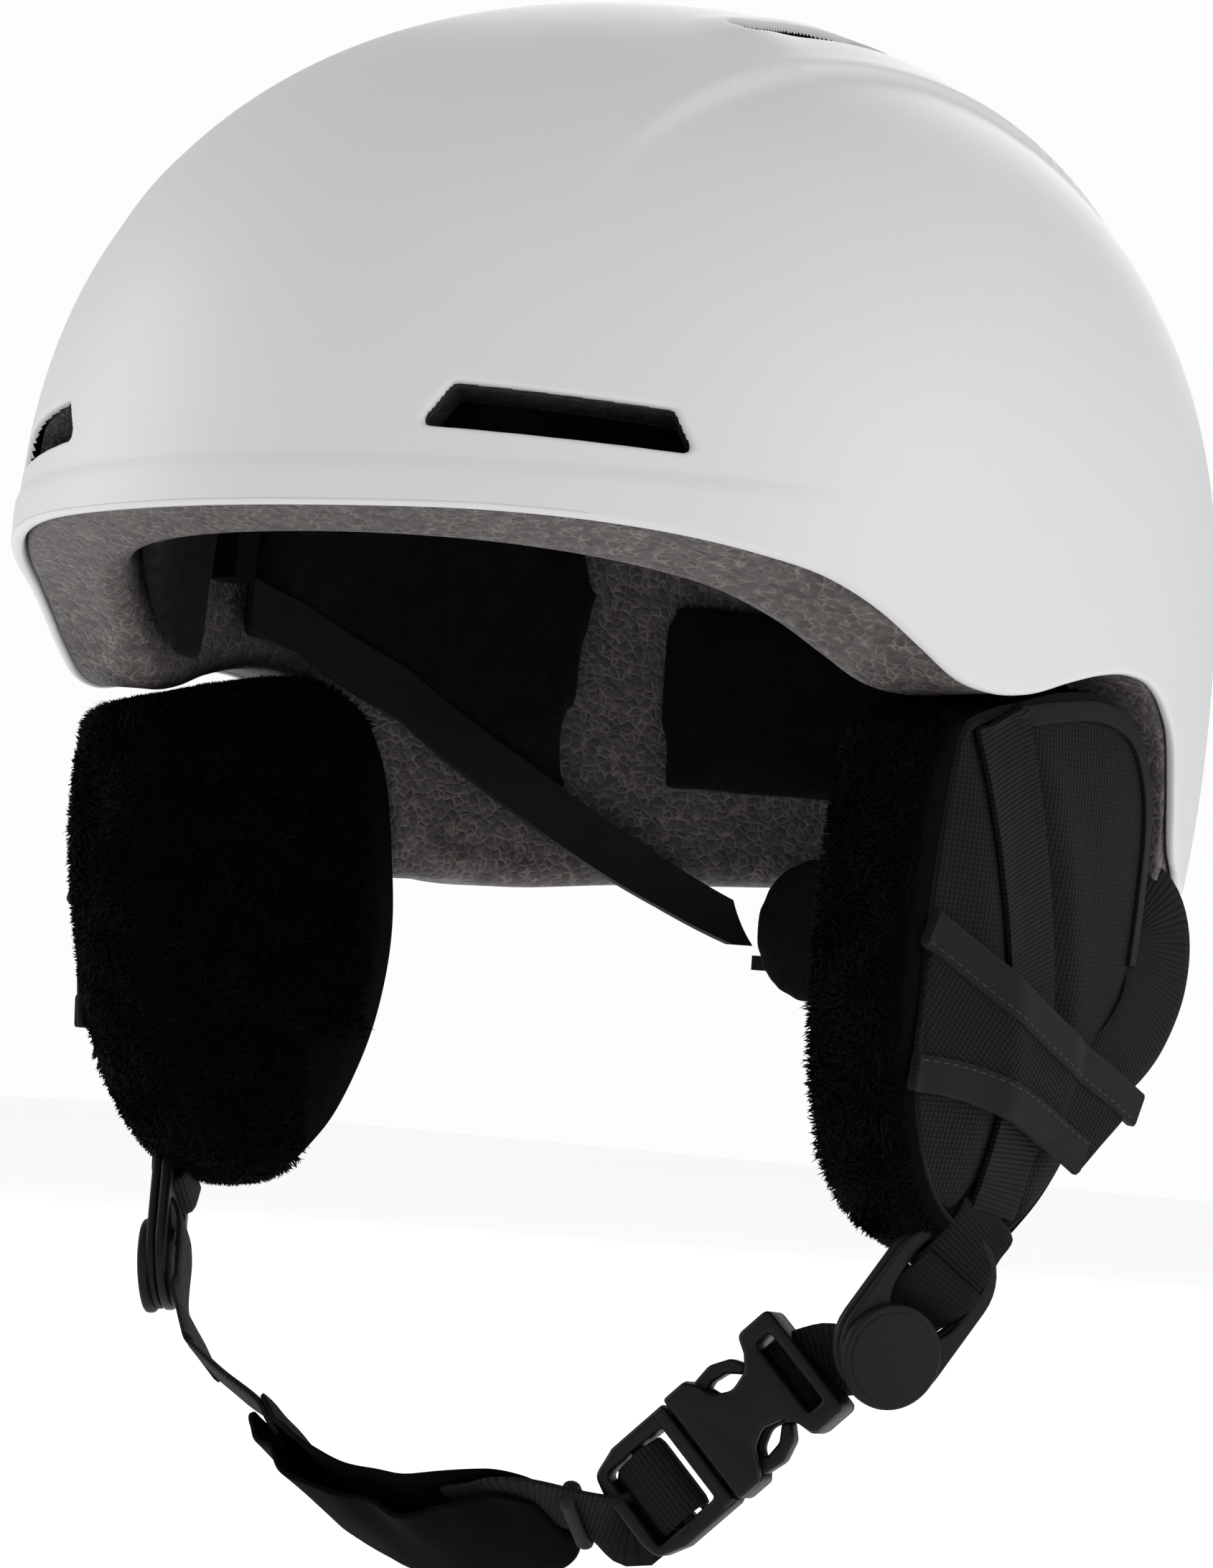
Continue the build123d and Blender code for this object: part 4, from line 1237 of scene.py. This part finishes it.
place_pair(dress(build_cover(), "ballistic_weave"), "pad_cover", "ballistic_weave",
           "ear_pad_cover", "ear_pad_foam")
fleece = dress(build_fleece(), "fleece")
pile = dress(build_pile(fleece, count=30000, length=1.9, seed=5), "pile")
place_pair(fleece, "pad_fleece", "fleece", "ear_pad_fleece")
place_pair(pile, "pad_pile", "fleece")
place_pair(pad_strap(BINDING, 3.6, cover_lift, 0.9, "twill_tape", offset=0.1),
           "pad_binding", "twill_tape", "ear_pad_binding")
place_pair(dress(build_welt(), "twill_tape"), "pad_welt", "twill_tape")
place_pair(pad_strap(FRONT_STRAP, 15.0, strap_lift, 1.4, "webbing"),
           "front_strap", "webbing", "front_web")
place_pair(dress(build_keeper(), "ballistic_weave"), "keeper_panel", "ballistic_weave",
           "strap_keeper")
add_keeper_tape("keeper_tape_top", KEEPER_TOP, 1.0)
add_keeper_tape("keeper_tape_low", KEEPER_LOW, -1.0)

# Rear strap: comes out from behind the pad, loops outwards, then runs forward and down
# under the keeper. Columns: position, direction of the width, width.
REAR_STRAP = np.array([
    (93, 14, -48.5, 0.0, 0.35, 0.93, 14),
    (98.0, 22.5, -51, 0.0, 0.42, 0.9, 16),
    (101.0, 27.5, -54.5, 0.1, 0.75, 0.65, 18),
    (102.4, 29.6, -60, 0.12, 0.98, 0.2, 20),
    (102.9, 28.8, -67.5, 0.1, 1.0, -0.15, 20.5),
    (103.0, 25.4, -75, 0.05, 0.8, -0.6, 19),
    (102.9, 19.8, -81, 0.02, 0.6, -0.8, 17),
    (102.4, 12.5, -86, 0, 0.45, -0.89, 15),
    (101.4, 4.5, -90.6, 0, 0.42, -0.91, 14),
    (100.2, -4, -94.5, 0, 0.42, -0.91, 13),
    (99.0, -10, -98, 0, 0.42, -0.91, 12)])
for side, sign in SIDES:
    mirror = np.array([sign, 1, 1])
    ob = strap("rear_strap_" + side, REAR_STRAP[:, :3] * mirror, REAR_STRAP[:, 3:6] * mirror,
               REAR_STRAP[:, 6], 1.3)
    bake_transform(ob)
    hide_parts("rear_web_" + side)

# ---------------------------------------------------------------- moulded plastic parts
Axes = namedtuple("Axes", "origin x y z")


def make_axes(origin, x, z):
    """Origin and right-handed axes, x made square to z."""
    z = unit(z)
    x = unit(x)
    x = unit(x - z * (x @ z))
    return Axes(np.array(origin, float), x, np.cross(z, x), z)


def on(axes, x, y, z=0.0):
    """Points from local coordinates, given as numbers or arrays."""
    along = np.multiply.outer
    return axes.origin + along(x, axes.x) + along(y, axes.y) + along(z, axes.z)


BUCKLE = make_axes((60, -43, -157.5), (-0.667, -0.242, -0.706), (0.271, -0.964, 0.0746))
DIVIDER = make_axes((86, -33, -139.6), (0.361, 0.416, 0.834), (0.84, -0.53, -0.10))
CHIN = make_axes((0, -56, -178), (1, 0, 0), (0.0, 0.83, -0.56))


def oval(centre_x, length, width):
    """Slot outline along x."""
    radius, half = width / 2, (length - width) / 2
    return np.array([(centre_x + end * (half + radius * math.cos(a)), end * radius * math.sin(a))
                     for end in (1, -1) for a in np.linspace(-QUARTER, QUARTER, 20)])


def circle(radius):
    a = np.linspace(0, 2 * math.pi, 64, endpoint=False)
    return np.stack([radius * np.cos(a), radius * np.sin(a)], 1)


def rectangle(x0, y0, x1, y1):
    return [(x0, y0), (x1, y0), (x1, y1), (x0, y1)]


def symmetric(points):
    """Outline mirrored about the x axis, from the points of its -y side in order."""
    return points + [(p[0], -p[1], *p[2:]) for p in points[::-1]]


def bevelled_mesh(outlines, height, bevel, clockwise):
    """Fills the first outline less the others, by way of a bevelled curve."""
    curve = bpy.data.curves.new("plate", "CURVE")
    curve.dimensions = "2D"
    curve.fill_mode = "BOTH"
    curve.extrude = height / 2 - bevel
    curve.bevel_depth = bevel
    curve.bevel_resolution = 3
    curve.offset = -bevel
    for k, outline in enumerate(outlines):
        outline = np.asarray(outline, float)
        wanted = -1 if (k == 0) == clockwise else 1
        if np.sign(signed_area(outline)) != wanted:
            outline = outline[::-1]
        spline = curve.splines.new("POLY")
        spline.points.add(len(outline) - 1)
        for point, (x, y) in zip(spline.points, outline):
            point.co = (x, y, 0, 1)
        spline.use_cyclic_u = True
    carrier = link_object("tmp", curve)
    depsgraph = bpy.context.evaluated_depsgraph_get()
    mesh = bpy.data.meshes.new_from_object(carrier.evaluated_get(depsgraph))
    bpy.data.objects.remove(carrier)
    return mesh


def plate(axes, outer, bottom, top, bevel, holes=(), name="plate"):
    """A flat moulding with rounded edges between two local heights."""
    height = top - bottom
    bevel = min(bevel, height * 0.45)
    outlines = [outer, *holes]
    mesh = bevelled_mesh(outlines, height, bevel, clockwise=True)
    # the curve's offset may grow the outline instead; the other winding shrinks it
    if read_points(mesh)[:, 0].max() > np.asarray(outer)[:, 0].max() + bevel * 0.5:
        bpy.data.meshes.remove(mesh)
        mesh = bevelled_mesh(outlines, height, bevel, clockwise=False)
    x, y, z = read_points(mesh).T
    mesh.vertices.foreach_set("co", (on(axes, x, y, z + (bottom + top) / 2) * MM).ravel())
    ob = tidy(link_object(name, mesh), merge=0.005)
    mesh.shade_smooth()
    return sharpen(ob, 42)


# divider: two clamped rings, the lid carrying a round button
divider_base = join([
    plate(DIVIDER, oval(9.5, 37, 22), 0, 2.2, 0.7, [oval(15, 20, 15)]),
    plate(DIVIDER, rounded(rectangle(12.5, -8.2, 15.5, 8.2), 0.4), 0.2, 2.0, 0.5),
], "divider_base_m")
divider_lid = join([
    plate(DIVIDER, oval(9.5, 36.4, 21.4), 2.35, 4.1, 0.65, [oval(15.2, 20.6, 15.2)]),
    plate(DIVIDER, circle(9.7), 3.7, 5.9, 0.75),
    plate(DIVIDER, circle(8.2), 5.2, 6.1, 0.15),
], "divider_lid_m")
place_pair(dress(divider_base, "black_plastic"), "divider_base_mesh", "black_plastic",
           "divider_base")
place_pair(dress(divider_lid, "divider_plastic"), "divider_lid_mesh", "divider_plastic",
           "divider_lid", body="divider_lid_{}")


# Buckle outlines as (x, y) or (x, y, corner radius)
SOCKET_FACE = symmetric([
    (-22.2, -11.6, 1.6), (-14.6, -11.6, 1.8), (-13.4, -8.2, 1.5), (-11.5, -5.6, 2.5),
    (-7.5, -4.4, 3), (-4.2, -6.2, 2.5), (-2.8, -9.8, 1.5), (-1.2, -11.6, 1.2),
    (3.9, -11.6, 0.9)])
SOCKET_BLOCK = symmetric([(-22.2, -11.6, 1.6), (-14.2, -11.6, 1.6), (-13.2, -8.0, 1.0)])
PLUG_FRAME = symmetric([(4.6, -11.4, 0.8), (17.5, -11.4, 2.0), (23.2, -9.6, 2.6),
                        (24.0, -6.0, 2.0)])
PLUG_WINDOW = [(7.6, -8.1), (21.3, -8.3), (21.6, 8.3), (7.6, 8.1)]
PLUG_TONGUE = symmetric([(-9.6, -2.2, 1.2), (5.4, -2.2)])
PRONG = [(4.6, 6.0, 0.3), (4.6, 8.9, 0.3), (0.6, 9.2, 1.5), (-2.2, 10.7, 2.0),
         (-6.4, 11.3, 3.0), (-10.4, 9.6, 2.0), (-12.3, 6.6, 0.8), (-10.6, 5.6, 0.8),
         (-8.0, 8.0, 1.5), (-5.0, 8.5, 1.5), (-1.6, 7.4, 1.5)]


def build_socket():
    """Two scooped faces, a strap-end block with its slot, and cheeks beside the mouth."""
    face = rounded(SOCKET_FACE, 1.2)
    slot = rounded(rectangle(-19.6, -8.0, -16.2, 8.0), 1.0)
    parts = [plate(BUCKLE, face, 2.1, 4.5, 1.0, [slot]),
             plate(BUCKLE, face, -4.5, -2.1, 1.0, [slot]),
             plate(BUCKLE, rounded(SOCKET_BLOCK, 1.0), -2.9, 2.9, 0.3, [slot])]
    for sign in (1, -1):
        cheek = rounded(rectangle(-1.8, sign * 9.9, 3.9, sign * 11.6), 0.6)
        parts.append(plate(BUCKLE, cheek, -3.2, 3.2, 0.3))
    rib = rounded(symmetric([(-13.4, -3.0), (-12.0, -3.4)]), 0.3)
    parts.append(plate(BUCKLE, rib, -2.6, 2.6, 0.2))
    return dress(join(parts, "buckle_socket"), "black_plastic")


def build_plug():
    """A windowed frame with a strap bar, a raised shoulder and a central tongue."""
    parts = [
        plate(BUCKLE, rounded(PLUG_FRAME, 1.5), -2.9, 2.9, 1.0, [rounded(PLUG_WINDOW, 1.0)]),
        plate(BUCKLE, rounded(rectangle(13.0, -8.6, 15.6, 8.6), 0.6), -1.4, 1.4, 0.6),
        plate(BUCKLE, rounded(rectangle(4.6, -11.0, 7.4, 11.0), 0.6), -3.8, 3.8, 0.8),
        plate(BUCKLE, rounded(PLUG_TONGUE, 0.4), -1.4, 1.4, 0.4)]
    return dress(join(parts, "buckle_plug"), "black_plastic")


place(build_socket(), "root", "black_plastic", "buckle_female")
place(build_plug(), "chin_strap", "black_plastic", "buckle_male")
for sign, level in ((-1, "upper"), (1, "lower")):
    outline = rounded([(x, sign * y, radius) for x, y, radius in PRONG], 1.0)
    prong = plate(BUCKLE, outline, -2.0, 2.0, 0.75, name="prong_" + level)
    place(dress(prong, "black_plastic"), "buckle_prong_" + level, "black_plastic",
          "buckle_prong_" + level)


# ---------------------------------------------------------------- chin straps
def facing(vector, reference):
    """The vector, turned round if it points against the reference."""
    return vector if vector @ reference > 0 else -vector


PLUG_END = on(BUCKLE, 24.6, 0)
CHIN_PAD_LEFT = np.array([27.0, -58.0, -172.5])
CHIN_ACROSS = unit((0.0, 0.83, -0.56))
TO_RIGHT = np.array([-1, 1, 1])


def build_divider_strap():
    """From the socket's slot up to the divider's bar, and round it."""
    across = facing(DIVIDER.y, BUCKLE.y)
    socket_end, divider_end = on(BUCKLE, -18.4, 0, -0.4), on(DIVIDER, -2.5, -0.2, -2.3)
    controls = [
        on(BUCKLE, -15.6, 0, -1.2), socket_end,
        (socket_end + divider_end) / 2 + np.array([-0.3, 0, 0.8]), divider_end,
        on(DIVIDER, 4, -0.2, -2.0), on(DIVIDER, 9.4, 0, -0.8), on(DIVIDER, 12.2, 0, 1.9),
        on(DIVIDER, 15, 0, 4.4), on(DIVIDER, 18.6, 0, 6.3)]
    directions = [BUCKLE.y, BUCKLE.y, BUCKLE.y * 0.5 + across * 0.5] + [across] * 6
    return strap("divider_strap", controls, directions, 14.4, 1.4)


ob = build_divider_strap()
tuple(on(DIVIDER, 4, 0) * MM)
tuple(on(BUCKLE, -19, 0) * MM)
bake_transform(ob)
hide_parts("divider_web")

# on each side a loop carries on from the front strap through the divider's window
loop_top = over_pad(-17, -113, strap_lift(-17.0, -113.0))
loop_across = facing(DIVIDER.y, PAD_ALONG)
LOOP = [loop_top, (loop_top + on(DIVIDER, 24, 0, 5.0)) / 2 + np.array([1.2, -0.8, 0]),
        on(DIVIDER, 20, 0, 4.6), on(DIVIDER, 17.2, 0, 3.0), on(DIVIDER, 16.4, 0, 0.6),
        on(DIVIDER, 17.4, 0, -1.6), on(DIVIDER, 22, 0, -2.6)]
LOOP_ACROSS = [PAD_ALONG * 0.9 - PAD_UP * 0.1,
               PAD_ALONG * 0.5 + loop_across * 0.5] + [loop_across] * 5
for side, sign in SIDES:
    mirror = np.array([sign, 1, 1])
    ob = strap("front_loop_" + side, np.array(LOOP) * mirror, np.array(LOOP_ACROSS) * mirror,
               13.6, 1.3)
    place(ob, side + "_side", "webbing")


def build_chin_web():
    """Over the plug's bar, back out of the buckle and into the chin pad."""
    controls = [
        on(BUCKLE, 11.6, 0, -1.8), on(BUCKLE, 9.8, 0, 0.4), on(BUCKLE, 12.6, 0, 2.7),
        on(BUCKLE, 18.4, 0, 1.8), on(BUCKLE, 20.2, 0, -1.4),
        PLUG_END + np.array([1.2, 0.8, -1.0]) - BUCKLE.z * 2.4,
        (PLUG_END - BUCKLE.z * 2.0) * 0.6 + CHIN_PAD_LEFT * 0.4, CHIN_PAD_LEFT,
        CHIN_PAD_LEFT + np.array([-7, 0.5, -1.8]), CHIN_PAD_LEFT + np.array([-14, 0.8, -3.4])]
    directions = ([BUCKLE.y] * 5 + [BUCKLE.y * 0.7 + CHIN_ACROSS * 0.3] + [CHIN_ACROSS] * 4)
    return strap("chin_strap_web", controls, directions, 15.0, 1.4)


def build_chin_tail():
    """The free layer beside the chin web."""
    controls = [
        on(BUCKLE, 16.4, 0, -2.0), PLUG_END - BUCKLE.z * 3.6 + np.array([1.0, 0.6, -0.6]),
        (PLUG_END - BUCKLE.z * 3.4) * 0.6 + CHIN_PAD_LEFT * 0.4 - BUCKLE.z * 0.5,
        CHIN_PAD_LEFT * 0.86 + PLUG_END * 0.14 - BUCKLE.z * 2.2]
    directions = [BUCKLE.y, BUCKLE.y * 0.6 + CHIN_ACROSS * 0.4, CHIN_ACROSS, CHIN_ACROSS]
    return strap("chin_strap_tail", controls, directions, 15.0, 1.3)


place(build_chin_web(), "chin_strap", "webbing", "chin_web")
place(build_chin_tail(), "chin_strap", "webbing", "web_tail")

# right side: a lower strap from the chin pad, meeting an upper one from the divider
CHIN_PAD_RIGHT = on(CHIN, -44.6, -15.0)
MEETING = np.array([-64.0, -47.0, -156.0])
RIGHT_DIVIDER = on(DIVIDER, 4, 0, -1.9) * TO_RIGHT
RIGHT_ACROSS = facing(DIVIDER.y * TO_RIGHT, CHIN_ACROSS)
MEETING_ACROSS = CHIN_ACROSS * 0.8 + RIGHT_ACROSS * 0.2
ob = strap(
    "chin_right_lower",
    [on(CHIN, -38.5, -10.6, 2.0), on(CHIN, -42.0, -13.0, 1.6), on(CHIN, -46.0, -16.2, 1.4),
     (CHIN_PAD_RIGHT + MEETING) / 2, MEETING],
    [CHIN_ACROSS] * 4 + [MEETING_ACROSS], [9, 10, 11.5, 14, 14.4], 1.4)
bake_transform(ob)
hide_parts("chin_web_right_lower")

below_divider = on(DIVIDER, -8, 0, -2.2) * TO_RIGHT
ob = strap(
    "chin_right_upper",
    [MEETING, MEETING * 0.5 + below_divider * 0.5, below_divider, RIGHT_DIVIDER,
     on(DIVIDER, 10.6, 0, -0.6) * TO_RIGHT, on(DIVIDER, 14, 0, 3.0) * TO_RIGHT],
    [MEETING_ACROSS, CHIN_ACROSS * 0.5 + RIGHT_ACROSS * 0.5] + [RIGHT_ACROSS] * 4, 14.4, 1.4)
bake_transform(ob)
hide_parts("chin_web_right_upper")


def build_keeper_ring():
    """A slim rubber band of oval section round the strap beside the plug."""
    ahead = unit(CHIN_PAD_LEFT + np.array([-9, 0.5, -2.0]) - PLUG_END)
    centre = PLUG_END + ahead * 9.5 - BUCKLE.z * 1.6
    across = unit(CHIN_ACROSS - ahead * (CHIN_ACROSS @ ahead))
    normal = np.cross(ahead, across)
    half_thickness, half_width, sides = 0.95, 1.5, 12
    outline = rounded(rectangle(-8.4, -2.0, 8.4, 2.0), 1.6, 10)
    points = []
    for i, (x, y) in enumerate(outline):
        tangent = unit(outline[(i + 1) % len(outline)] - outline[i - 1])
        away = across * tangent[1] - normal * tangent[0]
        for k in range(sides):
            angle = 2 * math.pi * k / sides
            points.append(centre + across * x + normal * y
                          + away * half_thickness * math.cos(angle)
                          + ahead * half_width * math.sin(angle))
    return tidy(new_object("keeper_ring", points, ring_faces(len(outline), sides)))


place(dress(build_keeper_ring(), "rubber_ring"), "web_keeper_ring", "rubber_ring",
      "web_keeper_ring")

# Line of the chin pad from right to left, as (x, y) in the chin axes; y is down and forward
CHIN_LINE = [(-46.5, -16.4), (-42, -12.8), (-34, -7.4), (-22, -2.0), (-8, 0.9), (6, 0.9),
             (18, -1.6), (29, -5.6)]


def build_chin_pad():
    """A velour sleeve folded round the strap; its two front edges hang free and wave."""
    rows, sheet_columns, half_gap = 150, 40, 2.3
    line = open_curve(CHIN_LINE, rows)
    normal = left_normals(line)
    s = np.linspace(0, 1, rows)[:, None]
    # the sleeve narrows towards both ends
    taper = ((0.42 + 0.58 * np.sqrt(1 - np.clip(1 - s / 0.26, 0, 1) ** 2))
             * (0.55 + 0.45 * np.sqrt(1 - np.clip((s - 0.9) / 0.1, 0, 1) ** 2)))
    swell = 0.35 + 0.65 * np.sin(s * math.pi)
    wavy = (1.1 * np.sin(s * 19 + 0.6) * swell + 0.4 * np.sin(s * 37 + 2)) * taper**2
    back = 18.5 - 4.0 * (1 - s) ** 2 - 3.0 * s**4
    front = -13.5 + 3.5 * s**3 + 4.0 * (1 - s) ** 3
    g = np.arange(sheet_columns) / (sheet_columns - 1)
    # inner sheet, against the chin, from its front edge back
    inner_across = front + 1.2 * np.sin(s * 14) + (back - front) * g
    puff = 0.5 * np.sin(g * math.pi) + 0.35 * np.sin(s * 23 + g * 7)
    inner_off = -half_gap - puff * 0.6 + 0.9 * (1 - g) ** 4 * wavy * 0.3
    # round the fold
    angle = np.linspace(-QUARTER, QUARTER, 9)[1:-1]
    fold_across = back + half_gap * np.cos(angle)
    fold_off = half_gap * np.sin(angle) + 0 * s
    # and the outer sheet forward again
    g = 1 - g
    outer_across = front + 2.5 + 1.8 * np.sin(s * 11 + 1.0) + (back - front - 2.5) * g
    outer_off = (half_gap + 0.5 * np.sin(g * math.pi) + (1 - g) ** 2 * (0.9 + wavy)
                 + 0.3 * np.sin(s * 31 + g * 5) * g)
    across = np.concatenate([inner_across, fold_across, outer_across], 1)
    off = np.concatenate([inner_off, fold_off, outer_off], 1)
    across = 2.0 + (across - 2.0) * taper
    off = off * (0.3 + 0.7 * taper)
    flat = line[:, None] + normal[:, None] * off[..., None]
    points = on(CHIN, flat[..., 0], flat[..., 1], across)
    row_number = np.arange(rows)[:, None] + 0 * across
    ob = new_object("chin_sleeve", points, grid_faces(*across.shape, wrap=False),
                    uv=np.stack([row_number, across], -1))
    solidify = ob.modifiers.new("s", "SOLIDIFY")
    solidify.thickness = 1.0 * MM
    solidify.offset = 0.0
    subdivide = ob.modifiers.new("b", "SUBSURF")
    subdivide.levels = 1
    subdivide.render_levels = 1
    apply_modifiers(ob)
    ob.data.shade_smooth()
    return dress(tidy(ob), "velour")


place(build_chin_pad(), "chin_strap", "velour", "chin_pad")

# ---------------------------------------------------------------- CAD parts: finishes and edges
EDGE_WIDTHS = {
    0.6: ("dial_knob", "goggle_clip_strap", "goggle_clip_cap", "goggle_clip_anchor",
          "cradle_hanger"),
    0.25: ("dial_cover", "dial_housing", "goggle_clip_stud", "fit_band_anchor_left",
           "fit_band_anchor_right", "ear_pad_clips", "strap_anchors", "dial_screw",
           "rack_left", "rack_right")}
edge_width = {node: width for width, nodes in EDGE_WIDTHS.items() for node in nodes}
slot_of = {part["node"]: part.get("material_slot") for part in frame["record"]["subparts"]}
for node, ob in frame["nodes"].items():
    slot = slot_of.get(node)
    dress(ob, slot if slot in MATERIALS else "black_plastic")
    if node in edge_width:
        bevel = ob.modifiers.new("edge", "BEVEL")
        bevel.width = edge_width[node] * MM
        bevel.segments = 3
        bevel.limit_method = "ANGLE"
        bevel.angle_limit = math.radians(40)

# ---------------------------------------------------------------- camera
CAMERA_TURN = math.radians(36.055)    # round from the front towards the left side
CAMERA_PITCH = math.radians(0.936)
CAMERA_ROLL = math.radians(4.108)
CAMERA_DISTANCE, CAMERA_Z = 799.9, -87.24


def add_camera():
    turn_sin, turn_cos = math.sin(CAMERA_TURN), math.cos(CAMERA_TURN)
    pitch_cos = math.cos(CAMERA_PITCH)
    ahead = Vector((-turn_sin * pitch_cos, turn_cos * pitch_cos, math.sin(CAMERA_PITCH)))
    right = Vector((turn_cos, turn_sin, 0))
    up = right.cross(ahead)
    roll_sin, roll_cos = math.sin(CAMERA_ROLL), math.cos(CAMERA_ROLL)
    rolled_right = right * roll_cos + up * roll_sin
    rolled_up = -right * roll_sin + up * roll_cos
    data = bpy.data.cameras.new("cam")
    camera = link_object("cam", data)
    pose = Matrix((rolled_right, rolled_up, -ahead)).transposed().to_4x4()
    place_mm = Vector((CAMERA_DISTANCE * turn_sin, -CAMERA_DISTANCE * turn_cos, CAMERA_Z))
    pose.translation = place_mm * MM
    camera.matrix_world = pose
    data.sensor_width = 36
    data.lens = 91.8800275
    data.shift_x = -0.0137042125
    data.shift_y = 0.1228846154
    data.clip_start = 0.01
    bpy.context.scene.camera = camera


# ---------------------------------------------------------------- light and floor
def add_world():
    """White surroundings, brighter to the camera than as a light."""
    world = bpy.data.worlds.new("w")
    bpy.context.scene.world = world
    world.use_nodes = True
    tree = world.node_tree
    seen = add(tree, "LightPath").outputs["Is Camera Ray"]
    feed(tree.nodes["Background"], Color=(1.0, 1.0, 1.0, 1),
         Strength=math_node(tree, "MULTIPLY_ADD", seen, 0.42, 0.56))


def add_area_light(name, location, target, size, power):
    """A square light aimed at a target; lengths in metres, power in watts."""
    data = bpy.data.lights.new(name, "AREA")
    data.size = size
    data.energy = power
    light = link_object(name, data)
    light.location = location
    aim = Vector(target) - Vector(location)
    light.rotation_euler = aim.to_track_quat("-Z", "Y").to_euler()


def add_floor():
    reach, z = 3000, -207
    corners = [(x, y, z) for x, y in rectangle(-reach, -reach, reach, reach)]
    floor = new_object("floor", corners, [(0, 1, 2, 3)], smooth=False)
    material, tree, surface = new_material("floor_pale")
    mottle = noise(tree, coords(tree), scale=3.0)
    feed(surface,
         Base_Color=ramp(tree, mottle, (0.3, (0.86, 0.86, 0.865)), (0.7, (0.88, 0.88, 0.885))),
         Roughness=0.9, Emission_Color=(1, 1, 1, 1), Emission_Strength=0.44)
    floor.data.materials.append(material)


add_camera()
add_world()
bpy.context.scene.view_settings.view_transform = "Standard"
add_area_light("key", (0.25, -1.15, 1.0), target=(0, 0, 0.0), size=0.9, power=0.9)
add_area_light("left", (-1.15, -0.55, 0.35), target=(0, 0, -0.02), size=0.8, power=4.7)
add_area_light("right", (1.25, 0.05, 0.30), target=(0.05, 0, -0.04), size=0.8, power=4.3)
add_area_light("rim", (-0.5, 1.0, 0.7), target=(0, 0, 0.02), size=0.8, power=4.6)
add_floor()
